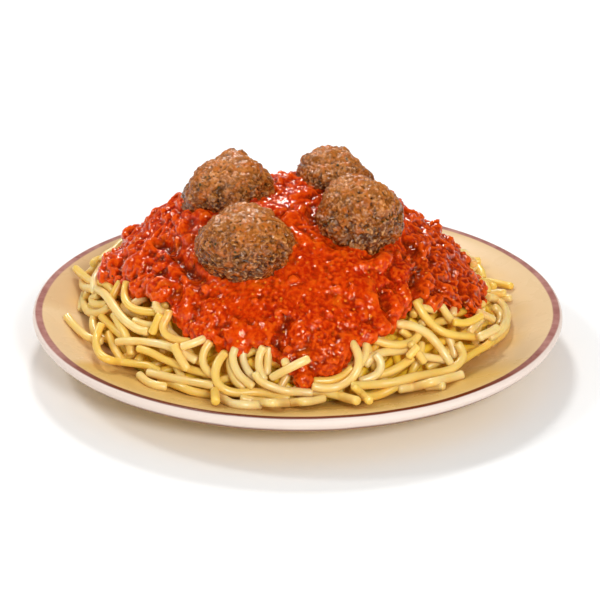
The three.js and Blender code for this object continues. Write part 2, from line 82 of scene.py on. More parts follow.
# Noodles as the photo shows them: pixels along each one, the lowest laid first
SEEN_NOODLES = {
    "left_back": ((94, 316), (93, 325), (95, 333), (99, 341)),
    "left_under": ((109, 331), (114, 347), (120, 357), (124, 363)),
    "low_left": ((158, 380), (173, 384), (192, 391), (212, 395)),
    "low_end": ((139, 374), (145, 380), (155, 385), (167, 387)),
    "bottom_deep": ((217, 387), (221, 396), (229, 402), (245, 405), (262, 405)),
    "bottom_stub": ((215, 390), (216, 402)),
    "left_shade": ((133, 320), (147, 325), (158, 326), (168, 325)),
    "left_behind": ((131, 306), (138, 301), (147, 297)),
    "left_broad": ((158, 343), (172, 346), (184, 352), (196, 359), (207, 364)),
    "front_deep": ((232, 354), (230, 363), (232, 373), (237, 382), (246, 388)),
    "front_behind": ((245, 346), (243, 357), (247, 369), (256, 380)),
    "front_twin": ((269, 346), (268, 360), (267, 375)),
    "right_deep": ((448, 336), (453, 348), (455, 358)),
    "ring_under": ((507, 323), (504, 332), (498, 338), (489, 344)),
    "right_run": ((365, 366), (371, 358), (381, 353), (395, 351), (407, 350), (418, 350)),
    "right_slant": ((376, 376), (392, 371), (404, 364), (413, 357)),
    "right_cross": ((420, 356), (432, 358), (446, 360)),
    "low_green": ((356, 397), (375, 396), (388, 391), (397, 386), (412, 380)),
    "low_yellow": ((302, 391), (326, 393), (344, 397), (358, 401)),
    "low_short": ((425, 387), (435, 386), (445, 386)),
    "low_right": ((398, 389), (418, 386), (433, 382), (450, 378), (464, 374)),
    "tongue_right": ((366, 342), (366, 352), (362, 362), (355, 370)),
    "tongue_under": ((353, 367), (344, 375), (333, 380), (320, 381), (313, 381)),
    "edge_slant": ((469, 333), (475, 326), (481, 320), (485, 315)),
    "left_slant": ((101, 316), (108, 323), (117, 331), (125, 338), (132, 345)),
    "left_steep": ((114, 313), (119, 324), (125, 333), (129, 343), (132, 355)),
    "plate_left": ((66, 315), (72, 323), (80, 331), (88, 337), (95, 340), (103, 341)),
    "left_bow": ((102, 323), (98, 332), (96, 341), (97, 348), (101, 355), (110, 360),
                 (123, 362), (137, 364), (150, 366), (160, 372)),
    "left_upright": ((121, 281), (116, 290), (111, 299)),
    "left_hook": ((127, 281), (125, 290), (125, 298), (128, 304), (135, 309), (143, 311), (158, 312)),
    "middle_hook": ((161, 291), (158, 298), (156, 304), (158, 309), (163, 313), (172, 317)),
    "bay_hook": ((170, 310), (167, 318), (163, 326), (165, 333), (172, 338), (182, 341), (191, 342)),
    "bay_post": ((161, 314), (156, 325), (152, 334)),
    "left_end": ((116, 342), (132, 341), (147, 342), (160, 344), (173, 348), (186, 355), (197, 361)),
    "lower_end": ((147, 372), (164, 376), (182, 380), (200, 383), (215, 386)),
    "long_end": ((137, 348), (150, 352), (164, 359), (176, 364), (190, 369), (212, 375)),
    "pointer": ((174, 344), (180, 357), (188, 370)),
    "short_bar": ((181, 347), (194, 343), (206, 338)),
    "front_hook": ((211, 341), (205, 350), (203, 357), (204, 365), (208, 371), (215, 376)),
    "front_sweep": ((226, 352), (219, 361), (216, 369), (216, 378), (220, 386), (228, 391),
                    (239, 393), (252, 392), (264, 393), (276, 396), (290, 399)),
    "front_bow": ((236, 347), (233, 356), (234, 364), (238, 373), (247, 382), (254, 387)),
    "front_post": ((264, 346), (260, 355), (259, 364), (261, 373), (265, 381)),
    "front_arc": ((255, 372), (258, 378), (264, 383), (273, 387), (287, 391), (300, 392), (313, 393)),
    "bottom_long": ((240, 398), (254, 401), (276, 403), (298, 402), (312, 401), (325, 398)),
    "eye": ((375, 354), (380, 360), (381, 367), (377, 374), (370, 378), (359, 381)),
    "right_cup": ((374, 340), (385, 343), (399, 345), (409, 343), (417, 337), (420, 331), (418, 324)),
    "tongue_hook": ((351, 341), (356, 349), (359, 358), (358, 368), (352, 378), (344, 384),
                    (333, 388), (322, 388), (312, 386)),
    "right_post": ((410, 342), (418, 353), (425, 363)),
    "right_prop": ((408, 358), (413, 352), (419, 346)),
    "right_arc": ((396, 324), (408, 325), (420, 329), (430, 336), (439, 346), (446, 356), (451, 364)),
    "edge_bar": ((422, 308), (430, 309), (436, 310)),
    "edge_post": ((454, 303), (453, 316)),
    "edge_tooth": ((441, 305), (449, 317), (456, 325)),
    "right_sweep": ((415, 300), (422, 312), (429, 321), (438, 329), (449, 334), (463, 336), (478, 337)),
    "corner": ((494, 334), (492, 340), (486, 346), (475, 352), (466, 358), (457, 363)),
    "ring_inner": ((493, 306), (498, 311), (501, 318), (499, 327)),
    "ring": ((488, 297), (495, 299), (501, 303), (505, 309), (507, 315), (506, 322), (503, 328),
             (498, 333), (489, 338)),
    "ring_bar": ((478, 338), (486, 334), (492, 331), (498, 327)),
    "ring_end": ((477, 312), (486, 316), (494, 320)),
    "right_hanger": ((453, 322), (464, 323), (472, 321), (482, 315)),
    "long_base": ((457, 343), (461, 349), (463, 356), (460, 362), (453, 368), (442, 372), (431, 374),
                  (414, 377), (395, 382), (381, 384), (366, 385), (351, 386)),
    "back_end": ((477, 266), (481, 271), (483, 278)),
    "back_arc": ((474, 275), (481, 281), (486, 286), (488, 293)),
    "sauce_end": ((477, 305), (484, 304)),
    "cut_piece": ((354, 386), (362, 394), (370, 401)),
}
# Noodles that lie over others or over the sauce: pixels, and how far behind the plate's middle
FREE_NOODLES = {
    "loop": ((84.6, 293, 16), (83, 299, 8), (85, 306, -3), (88.5, 312, -12), (95.5, 313.5, -18.5),
             (103, 311.5, -23.5), (110.5, 307, -26.5)),
    "curl": ((99, 295.5, -12), (92.3, 298.5, -9), (93, 303, -12), (100, 304.5, -17.5), (109, 304, -23)),
    "curl_under": ((90, 305, -8), (95.5, 308.5, -12.5), (103, 308.5, -18.5)),
    "left_sweep": ((98, 264, 22), (92, 270.5, 24), (86, 276, 25), (82.8, 281.4, 23), (83.2, 285.5, 17),
                   (87, 288, 8), (93.6, 289, -3), (98.5, 290, -11), (104.5, 294, -19.5), (110, 300.7, -27.5),
                   (115, 308, -34.5), (121.5, 316.6, -42), (131.5, 325.7, -50), (140, 330.3, -55),
                   (149, 332, -57.5)),
    "left_tip": ((75.4, 268.2, 32), (83.6, 275.7, 20), (90.7, 280.5, 8), (98.6, 282.5, -3),
                 (105, 284, -9.5), (110, 287.5, -14), (113.5, 293, -18.5)),
    "outer_end": ((482, 296, 13), (491, 294, 13), (499, 293, 12), (506, 293, 11)),
    "over_sauce": ((271.5, 378, -88), (287, 369.5, -91), (299, 363.4, -91), (309.5, 358.5, -89)),
    "stub": ((287, 366, -89), (284.6, 359.5, -86)),
}
# Noodles drawn at random behind: how many, and between which bearings and rises they start
DRAWN_NOODLES = 44
DRAWN_BEARINGS = (98, 262)
DRAWN_RISES = (0, 19)

# Lobes and chunks of the sauce: pixel, half width, half height, thickness, turn and lift of its middle
SEEN_LOBES = {
    "left_1": ((107, 266), 5.5, 8.5, 4.5, 8, 3),
    "left_2": ((134, 262), 6.5, 9, 5, -14, 4),
    "left_3": ((142, 281), 5.5, 8, 4.5, -20, 3),
    "left_4": ((157, 287), 7.4, 6.2, 4.5, 10, 4.4),
    "left_5": ((181, 279), 6, 5.5, 4, 30, 3),
    "left_6": ((188, 302), 6, 9, 4.5, 12, 3),
    "left_7": ((203, 328), 7, 7, 4.5, -8, 2),
    "left_8": ((183, 316), 4.5, 5, 4, 0, 1.5),
    "front_1": ((238, 343), 5.5, 6, 4, 0, 1.5),
    "front_2": ((262, 333), 8, 6.5, 4, 0, 2),
    "front_3": ((210, 312), 9, 8, 3.5, 0, 2.6),
    "front_4": ((236, 330), 7, 6, 3.5, 20, 2.6),
    "left_9": ((194, 256), 2.4, 3, 3, 0, 5),
    "left_10": ((166, 252), 4, 3.4, 4, 0, 4.5),
    "left_11": ((148, 244), 6.5, 5, 4, 25, 4.5),
    "left_12": ((131, 250), 5, 4.5, 4, 30, 2.6),
    "top_1": ((178, 226), 5.5, 5, 4.5, 0, 3),
    "top_2": ((154, 220), 6, 4, 4, 40, 3),
    "top_3": ((182, 203), 6, 3.4, 4, 20, 2.2),
    "top_4": ((200, 214), 6, 3.5, 3.5, 10, 3),
    "top_5": ((187, 238), 4.5, 4, 4, 0, 2.8),
    "left_13": ((158, 265), 5.5, 4, 3.6, 20, 4.5),
    "top_6": ((268, 205), 10, 5, 4, 0, 3.6),
    "top_7": ((291, 217), 5, 6, 4, -30, 3.2),
    "top_8": ((250, 199), 4, 3, 3.5, 30, 3.4),
    "top_9": ((305, 192), 9, 4, 3.5, 20, 3),
    "top_10": ((303, 208), 5.5, 4, 3.5, 60, 3.2),
    "top_11": ((322, 180), 6, 3, 3.5, -15, 4),
    "top_12": ((300, 236), 7, 5, 3, -40, 3.6),
    "front_5": ((300, 335), 6.5, 8, 4, 12, 3),
    "front_6": ((322, 345), 7.5, 8, 4.5, 0, 3),
    "front_7": ((340, 352), 6, 6, 4.5, -10, 2.4),
    "front_8": ((328, 366), 5.5, 4, 3.6, 10, 2.4),
    "front_9": ((304, 379), 4.7, 4.4, 4.4, 0, 3),
    "front_10": ((290, 352), 4.5, 5, 3.5, 10, 3),
    "front_11": ((298, 367), 5, 4, 3.5, 20, 3),
    "front_12": ((384, 259), 7.5, 4.4, 4.5, 24, 4),
    "front_13": ((364, 265), 8, 4, 3.6, 10, 3.6),
    "front_14": ((400, 274), 5, 5, 3.6, -40, 3.4),
    "right_1": ((408, 291), 5, 7, 4.5, -12, 3),
    "front_15": ((396, 303), 4.5, 6, 4, 0, 2.8),
    "front_16": ((384, 323), 5, 5.2, 4.6, 0, 3.4),
    "front_17": ((368, 332), 5, 5, 4, 0, 2.6),
    "front_18": ((352, 338), 6.5, 5, 4, 0, 2.6),
    "front_19": ((370, 302), 8, 9, 3.2, 0, 3),
    "right_2": ((424, 247), 5.5, 5, 4, -40, 4),
    "right_3": ((436, 234), 4.5, 4, 3.5, -30, 3.4),
    "right_4": ((414, 220), 5, 3.5, 3.5, -30, 3.4),
    "right_5": ((441, 262), 5, 4.2, 3.6, -30, 3.6),
    "right_6": ((455, 250), 5.2, 4.2, 3.6, -20, 2.6),
    "right_7": ((430, 280), 5.5, 5, 4, 30, 3),
    "right_8": ((446, 290), 6.5, 4.6, 4.2, -20, 2.8),
    "right_9": ((460, 276), 5, 5.6, 4, -40, 2.6),
    "right_10": ((463, 269), 3.6, 5.6, 3.6, -10, 1.2),
    "right_11": ((471, 288), 4.6, 6.5, 4, -10, 2),
    "right_12": ((458, 300), 6, 4.6, 4, -10, 2.2),
    "right_13": ((436, 300), 6, 4, 4, 0, 2.4),
    "right_14": ((448, 246), 4, 5, 3.6, 30, 3.6),
}
# Creases between them: width, depth, and pixels along each
SEEN_CREASES = {
    "left_of_front_ball": (1.9, 5.5, ((158, 240), (170, 251), (181, 261), (190, 268), (199, 274))),
    "tongue_left": (1.7, 3.2, ((286, 316), (281, 329), (277, 341), (276, 352))),
    "right_hollow": (2.1, 3.8, ((406, 232), (414, 245), (419, 261), (417, 280), (421, 298), (416, 312))),
    "front_right": (1.6, 2.4, ((384, 290), (386, 304), (392, 316))),
    "left_edge": (1.6, 3.2, ((124, 252), (118, 264), (118, 282))),
    "left_middle": (1.5, 2.8, ((150, 262), (144, 272), (138, 284))),
    "left_low": (1.6, 2.6, ((172, 296), (178, 286), (176, 274))),
    "between_balls": (2.2, 3.0, ((314, 200), (312, 214), (320, 229), (334, 240))),
    "right_edge": (1.7, 2.6, ((436, 244), (448, 256), (458, 264), (465, 282), (467, 300))),
    "right_middle": (1.5, 2.4, ((425, 262), (436, 274), (452, 280))),
    "left_top": (1.3, 1.4, ((166, 214), (172, 232), (166, 246))),
    "front_left": (1.5, 1.6, ((198, 282), (193, 292), (197, 312))),
}

# Camera, in pixels of the photo's frame, which is 600 pixels wide
CAMERA_DISTANCE = 900
CAMERA_ELEVATION = 23.57 * DEGREE
CAMERA_ROLL = 0.31 * DEGREE
FOCAL_PIXELS = 1981.5
IMAGE_SIZE = 600
PLATE_PIXEL = (297.68, 300.48)

# Meatballs: radius, centre, stretch, and dents as direction, height as a share of it, and sharpness
MEATBALLS = {
    "meatball_front_left": (20.6, (-22.3, -41.5, 65.7), (1.06, 1, 0.83), (
        ((-0.707, 0.28, 0.65), -0.15, 8), ((0.707, 0.28, 0.65), -0.13, 8), ((0, 0.4, 0.92), 0.05, 10))),
    "meatball_back_left": (20.2, (-30.7, 2.9, 72.5), (0.94, 1, 0.82), (
        ((-0.6, 0.32, 0.73), -0.1, 6), ((0.25, 0.39, 0.89), 0.06, 14))),
    "meatball_front_right": (19, (26.8, -23.8, 71.5), (0.97, 1, 0.94), (
        ((0.6, 0.32, 0.73), -0.24, 12), ((-0.25, 0.39, 0.89), 0.05, 12))),
    "meatball_back_right": (18.6, (16.7, 18.5, 71.9), (0.95, 1, 0.83), (
        ((0.77, 0.26, 0.59), -0.13, 10),)),
}


# Random numbers and noise


def make_random(seed):
    """Numbers that look random and repeat on every run, as the frame's do."""
    state = [seed]

    def draw(low=0.0, high=1.0):
        state[0] = (state[0] * 1664525 + 1013904223) % 2 ** 32
        return low + (high - low) * state[0] / 2 ** 32

    return draw


def hashed(cell, seed):
    """A number from 0 to 1 for each whole-number cell."""
    x, y, z = (cell[:, i].astype(np.uint64) for i in range(3))
    mix = x * np.uint64(0x9E3779B1) + y * np.uint64(0x85EBCA77) + z * np.uint64(0xC2B2AE3D)
    mix = (mix + np.uint64(seed * 7919 + 1)) * np.uint64(0x27D4EB2F165667C5)
    mix ^= mix >> np.uint64(29)
    mix *= np.uint64(0x9E3779B97F4A7C15)
    mix ^= mix >> np.uint64(32)
    return (mix & np.uint64(0xFFFFFF)).astype(float) / 0xFFFFFF


def swirl(points, size, seed):
    """Smooth noise from about -1 to 1, with humps of a size in millimetres."""
    place = points / size + 1000
    cell = np.floor(place)
    part = place - cell
    ease = part ** 3 * (part * (part * 6 - 15) + 10)
    total = np.zeros(len(points))
    for corner in itertools.product((0, 1), repeat=3):
        at = (cell + corner).astype(np.int64)
        slope = np.stack([hashed(at, seed * 3 + i) for i in range(3)], 1) * 2 - 1
        weight = np.prod(np.where(corner, ease, 1 - ease), axis=1)
        total += weight * ((part - corner) * slope).sum(1)
    return total * 1.7


def drift(points, size, seed, reach):
    """A smooth shift of each point, by which later noise is bent."""
    return np.stack([swirl(points, size, seed + i) for i in range(3)], 1) * reach


def cells(points, size, seed):
    """Distances to the nearest two of scattered centres, in cells, and a number for the nearest."""
    place = points / size + 1000
    cell = np.floor(place)
    first = np.full(len(points), 9.0)
    second = first.copy()
    name = np.zeros(len(points))
    for corner in itertools.product((-1, 0, 1), repeat=3):
        at = (cell + corner).astype(np.int64)
        centre = at + np.stack([hashed(at, seed * 5 + i) for i in range(3)], 1)
        distance = np.linalg.norm(place - centre, axis=1)
        closer = distance < first
        second = np.where(closer, first, np.minimum(second, distance))
        name = np.where(closer, hashed(at, seed * 5 + 4), name)
        first = np.where(closer, distance, first)
    return first, second, name


# The heap's bare surface, over which places are a bearing and a rise

LOWEST_RISE = -24
SECTION_LENGTH = 150
SECTION_STEP = 0.25
OVER_THE_TOP = 200.0


def plate_top(radius):
    return np.interp(radius, *zip(*PLATE_TOP))


def foot_radius(bearing):
    angle = bearing * DEGREE
    mean = (FOOT_FRONT + FOOT_RIGHT + FOOT_BACK + FOOT_LEFT) / 4
    return (mean + (FOOT_RIGHT - FOOT_LEFT) / 2 * np.sin(angle)
            + (FOOT_FRONT - FOOT_BACK) / 2 * np.cos(angle)
            + (FOOT_FRONT + FOOT_BACK - FOOT_RIGHT - FOOT_LEFT) / 4 * np.cos(2 * angle))


def heap_top(bearing, radius):
    """Height of the dome with its swells, blended into the plate."""
    share = 1 - (radius / foot_radius(bearing)) ** DOME_POWER
    dome = WELL_HEIGHT + HEAP_HEIGHT * np.sign(share) * np.abs(share) ** DOME_ROUNDNESS
    x = radius * np.sin(bearing * DEGREE)
    y = -radius * np.cos(bearing * DEGREE)
    for angle, out, spread, height in SWELLS:
        dx = x - out * math.sin(angle * DEGREE)
        dy = y + out * math.cos(angle * DEGREE)
        dome = dome + height * np.exp(-(dx * dx + dy * dy) / (2 * spread ** 2))
    return FOOT_BLEND * np.logaddexp(dome / FOOT_BLEND, plate_top(radius) / FOOT_BLEND)


def measure_sections():
    """For each whole bearing: radius and height at each rise, the rise of the top, and their count."""
    radii_at = np.zeros((361, SECTION_LENGTH))
    heights_at = np.zeros((361, SECTION_LENGTH))
    tops = np.zeros(361)
    counts = np.zeros(361)
    for whole in range(361):
        radii = np.arange(0, PLATE_TOP[-1][0] + 0.1, SECTION_STEP)
        heights = heap_top(whole % 360, radii)
        lengths = np.concatenate([[0], np.cumsum(np.hypot(np.diff(radii), np.diff(heights)))])
        to_foot = np.interp(foot_radius(whole % 360), radii, lengths)
        rises = np.arange(LOWEST_RISE, to_foot, 1)
        wanted = np.minimum(to_foot - rises, lengths[-1])
        tops[whole] = to_foot
        counts[whole] = len(rises)
        radii_at[whole, :len(rises)] = np.interp(wanted, lengths, radii)
        heights_at[whole, :len(rises)] = np.interp(wanted, lengths, heights)
        heights_at[whole, len(rises):] = heights[0]
    return radii_at, heights_at, tops, counts


SECTION_RADII, SECTION_HEIGHTS, SECTION_TOPS, SECTION_COUNTS = measure_sections()


def section(bearing, rise):
    """Radius and height of the bare surface."""
    wrapped = np.mod(bearing, 360)
    low = np.floor(wrapped).astype(int)
    share = wrapped - low
    radius = height = 0
    for whole, weight in ((low, 1 - share), (low + 1, share)):
        step = np.clip(rise - LOWEST_RISE, 0, SECTION_COUNTS[whole] - 0.001)
        cell = np.floor(step).astype(int)
        part = step - cell
        here, after = (whole, cell), (whole, cell + 1)
        radius = radius + weight * (SECTION_RADII[here] * (1 - part) + SECTION_RADII[after] * part)
        height = height + weight * (SECTION_HEIGHTS[here] * (1 - part) + SECTION_HEIGHTS[after] * part)
    return radius, height


def top_rise(bearing):
    return np.interp(np.mod(bearing, 360), np.arange(361), SECTION_TOPS)


def surface(bearing, rise):
    radius, height = section(bearing, rise)
    return np.stack([radius * np.sin(bearing * DEGREE), -radius * np.cos(bearing * DEGREE), height], -1)


def unit(vectors):
    return vectors / np.maximum(np.linalg.norm(vectors, axis=-1, keepdims=True), 1e-9)


def surface_frame(bearing, rise):
    """Point on the bare surface, and its directions to the right, up the slope and outwards."""
    along = surface(bearing + 1, rise) - surface(bearing - 1, rise)
    up = surface(bearing, rise + 1) - surface(bearing, rise - 1)
    outward = unit(np.cross(along, up))
    return surface(bearing, rise), unit(along), unit(up), outward


def on_heap(bearing, rise, lift):
    """Points lifted off the bare surface, by one lift or one each."""
    point, _, _, outward = surface_frame(bearing, rise)
    return point + outward * np.asarray(lift)[..., None]


def hermite(start, end, slope_in, slope_out, t):
    """A smooth curve between two values with the slopes given for the whole way."""
    return (start * (2 * t ** 3 - 3 * t ** 2 + 1) + slope_in * (t ** 3 - 2 * t ** 2 + t)
            + end * (3 * t ** 2 - 2 * t ** 3) + slope_out * (t ** 3 - t ** 2))


EDGE_BEARINGS, EDGE_RISES = np.array(SAUCE_EDGE, float).T


def edge_rise(bearing):
    """Rise of the sauce's edge, a smooth curve through the listed points."""
    count = len(SAUCE_EDGE)
    wrapped = np.mod(np.asarray(bearing, float) - EDGE_BEARINGS[0], 360) + EDGE_BEARINGS[0]
    i = np.searchsorted(EDGE_BEARINGS, wrapped, side="right") - 1

    def at(k):
        return EDGE_BEARINGS[k % count] + 360 * (k // count), EDGE_RISES[k % count]

    before, start, end, after = at(i - 1), at(i), at(i + 1), at(i + 2)
    width = end[0] - start[0]
    slope_in = (end[1] - before[1]) / (end[0] - before[0]) * width
    slope_out = (after[1] - start[1]) / (after[0] - start[0]) * width
    return hermite(start[1], end[1], slope_in, slope_out, (wrapped - start[0]) / width)


# Meshes


def set_numbers(mesh, key, values):
    """Gives the mesh a named number at each point."""
    layer = mesh.attributes.new(key, "FLOAT", "POINT")
    layer.data.foreach_set("value", np.asarray(values, np.float32))


def shade_smooth(mesh):
    mesh.polygons.foreach_set("use_smooth", np.ones(len(mesh.polygons), bool))


def add_mesh(name, points, faces, **numbers):
    """An object from points in millimetres, with named numbers at its points."""
    mesh = bpy.data.meshes.new(name)
    mesh.from_pydata(np.asarray(points, float) / METRE, [], faces)
    mesh.update()
    shade_smooth(mesh)
    for key, values in numbers.items():
        set_numbers(mesh, key, values)
    piece = bpy.data.objects.new(name, mesh)
    bpy.context.scene.collection.objects.link(piece)
    return piece


def points_of(mesh):
    flat = np.zeros(len(mesh.vertices) * 3, np.float32)
    mesh.vertices.foreach_get("co", flat)
    return flat.reshape(-1, 3).astype(float) * METRE


def normals_of(mesh):
    flat = np.zeros(len(mesh.vertices) * 3, np.float32)
    mesh.vertex_normals.foreach_get("vector", flat)
    return flat.reshape(-1, 3).astype(float)


def move_points(mesh, points):
    mesh.vertices.foreach_set("co", (points / METRE).astype(np.float32).ravel())
    mesh.update()


def hollows(mesh, steps):
    """How far each point stands out from its smoothed surroundings, in millimetres."""
    edges = np.zeros(len(mesh.edges) * 2, np.int32)
    mesh.edges.foreach_get("vertices", edges)
    ends = np.concatenate([edges.reshape(-1, 2), edges.reshape(-1, 2)[:, ::-1]])
    points = points_of(mesh)
    smooth = points.copy()
    count = np.bincount(ends[:, 0], minlength=len(points))[:, None]
    for _ in range(steps):
        total = np.stack([np.bincount(ends[:, 0], smooth[ends[:, 1], i], len(points)) for i in range(3)], 1)
        smooth = total / np.maximum(count, 1)
    return ((points - smooth) * normals_of(mesh)).sum(1)


def settle(piece):
    """Makes the piece's modifiers part of its mesh."""
    graph = bpy.context.evaluated_depsgraph_get()
    mesh = bpy.data.meshes.new_from_object(piece.evaluated_get(graph))
    piece.modifiers.clear()
    piece.data = mesh
    shade_smooth(mesh)


def remesh(piece, voxel, smooth_steps):
    """Joins all closed parts of the piece in one skin of even small faces."""
    skin = piece.modifiers.new("remesh", "REMESH")
    skin.mode = "VOXEL"
    skin.voxel_size = voxel / METRE
    smooth = piece.modifiers.new("smooth", "SMOOTH")
    smooth.factor = 0.5
    smooth.iterations = smooth_steps
    settle(piece)


def thin_out(piece, triangles):
    """Leaves the piece no more triangles than given, the fewest where it is flat."""
    decimate = piece.modifiers.new("decimate", "DECIMATE")
    decimate.ratio = triangles / sum(len(face.vertices) - 2 for face in piece.data.polygons)
    settle(piece)


def ring_faces(rings, sides):
    """Triangles between rings of points, each ring from its first point round to it again."""
    ring = np.arange(rings - 1)[:, None] * sides
    side = np.arange(sides)[None, :]
    after = (side + 1) % sides
    quads = np.stack([ring + side, ring + sides + side, ring + sides + after, ring + after], -1)
    quads = quads.reshape(-1, 4)
    return np.concatenate([quads[:, [0, 1, 2]], quads[:, [0, 2, 3]]])


def fan(pole, ring_start, sides, flip):
    """Triangles from a pole to the ring round it."""
    side = np.arange(sides)
    after = (side + 1) % sides
    pair = (after, side) if flip else (side, after)
    return np.stack([np.full(sides, pole), ring_start + pair[0], ring_start + pair[1]], -1)


def closed_rings(rings, first_pole, last_pole):
    """A closed body between two poles over rings of equally many points."""
    count, sides = rings.shape[:2]
    points = np.concatenate([rings.reshape(-1, 3), [first_pole], [last_pole]])
    faces = np.concatenate([
        ring_faces(count, sides),
        fan(count * sides, 0, sides, False),
        fan(count * sides + 1, (count - 1) * sides, sides, True),
    ])
    return points, faces


def joined(parts):
    """Points and faces of several bodies as one list of each."""
    shifts = np.cumsum([0] + [len(points) for points, _ in parts[:-1]])
    points = np.concatenate([points for points, _ in parts])
    return points, np.concatenate([faces + shift for (_, faces), shift in zip(parts, shifts)])


def circle(sides):
    return np.arange(sides) * 2 * math.pi / sides


# Materials


def srgb(red, green, blue):
    """A colour from the 0 to 255 values of a screen."""
    def linear(value):
        value /= 255
        return value / 12.92 if value <= 0.04045 else ((value + 0.055) / 1.055) ** 2.4
    return (linear(red), linear(green), linear(blue), 1)


class Nodes:
    """A tree of shader nodes."""

    def __init__(self, tree):
        self.tree = tree

    def put(self, socket, value):
        if isinstance(value, bpy.types.NodeSocket):
            self.tree.links.new(value, socket)
        else:
            socket.default_value = value

    def node(self, kind, inputs=None, **settings):
        node = self.tree.nodes.new(kind)
        for key, value in settings.items():
            setattr(node, key, value)
        for key, value in (inputs or {}).items():
            self.put(node.inputs[key], value)
        return node

    def math(self, operation, a, b=0.0):
        return self.node("ShaderNodeMath", {0: a, 1: b}, operation=operation).outputs[0]

    def product(self, a, b):
        return self.math("MULTIPLY", a, b)

    def least(self, a, b):
        return self.math("MINIMUM", a, b)

    def most(self, a, b):
        return self.math("MAXIMUM", a, b)

    def between(self, value, low, high, to_low=0.0, to_high=1.0):
        """How far a value is on its way from low to high, as a share or between other ends."""
        inputs = {"Value": value, "From Min": low, "From Max": high, "To Min": to_low, "To Max": to_high}
        return self.node("ShaderNodeMapRange", inputs, clamp=True).outputs[0]


class Look(Nodes):
    """A material of nodes round one shader, painted in layers. Sizes are in millimetres."""

    def __init__(self, name, **sockets):
        self.material = bpy.data.materials.new(name)
        self.material.use_nodes = True
        super().__init__(self.material.node_tree)
        self.shader = self.tree.nodes["Principled BSDF"]
        for key, value in sockets.items():
            self.shader.inputs[key.replace("_", " ")].default_value = value
        self.place = self.node("ShaderNodeTexCoord").outputs["Object"]
        self.paint = None

    def noise(self, size, detail=2, roughness=0.5, distortion=0.0):
        inputs = {"Vector": self.place, "Scale": METRE / size, "Detail": detail,
                  "Roughness": roughness, "Distortion": distortion}
        return self.node("ShaderNodeTexNoise", inputs).outputs["Fac"]

    def cells(self, size, feature="F1"):
        inputs = {"Vector": self.place, "Scale": METRE / size}
        return self.node("ShaderNodeTexVoronoi", inputs, feature=feature).outputs["Distance"]

    def numbers(self, name):
        return self.node("ShaderNodeAttribute", attribute_name=name).outputs["Fac"]

    def mix(self, share, a, b):
        return self.node("ShaderNodeMix", {0: share, 6: a, 7: b}, data_type="RGBA").outputs[2]

    def layer(self, share, colour):
        """Lays a colour over the paint below it, in a share from 0 to 1."""
        self.paint = self.mix(share, self.paint, colour)

    def bump(self, height, distance, strength):
        inputs = {"Height": height, "Distance": distance / METRE, "Strength": strength}
        self.put(self.shader.inputs["Normal"], self.node("ShaderNodeBump", inputs).outputs["Normal"])

    def roughness(self, value):
        self.put(self.shader.inputs["Roughness"], value)

    def finished(self):
        """The material, with its paint put on."""
        self.put(self.shader.inputs["Base Color"], self.paint)
        return self.material


def dress(piece, material, slot, *nodes):
    """Gives a finished piece its material, puts it under the root, and hides the imported parts it stands
    for.
    """
    piece.data.materials.clear()
    piece.data.materials.append(material)
    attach(piece, "root")
    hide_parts(*nodes)


# Plate

PLATE_SEGMENTS = 256
BAND_INNER, BAND_OUTER = 115.2, 118.2
# Heights in metres between which the lip's colour starts, and where the plate's front starts, with the
# band's painted shade
UNDERSIDE = (0.0155, 0.019)
PLATE_FRONT = (-0.05, -0.09)
# Sectors of painted light and painted shade on the glaze, in radians from the front: where each starts, is
# full, fades and ends. The front one is painted shade from the heap.
PAINTED_LIGHT_AND_SHADE_SECTORS = {
    "front": (-0.99, -0.93, 0.86, 1.04),
    "left_lit": (-1.53, -1.48, -1.0, -0.9),
    "right_lit": (1.0, 1.15, 2.0, 2.6),
    "left_shade": (-2.8, -2.0, -1.58, -1.5),
}


def cut_corners(points):
    """The open line with each corner replaced by two nearer points."""
    points = np.asarray(points, float)
    near = points[:-1] * 0.75 + points[1:] * 0.25
    far = points[:-1] * 0.25 + points[1:] * 0.75
    return np.concatenate([points[:1], np.stack([near, far], 1).reshape(-1, 2), points[-1:]])


def make_plate():
    profile = cut_corners(cut_corners(PLATE_UNDER + PLATE_TOP[::-1]))
    angles = circle(PLATE_SEGMENTS)
    rings = np.stack([
        profile[1:-1, 0, None] * np.sin(angles),
        -profile[1:-1, 0, None] * np.cos(angles),
        np.repeat(profile[1:-1, 1, None], PLATE_SEGMENTS, 1),
    ], -1)
    points, faces = closed_rings(rings, (0, 0, profile[0, 1]), (0, 0, profile[-1, 1]))
    return add_mesh("serving_plate", points, faces[:, ::-1])


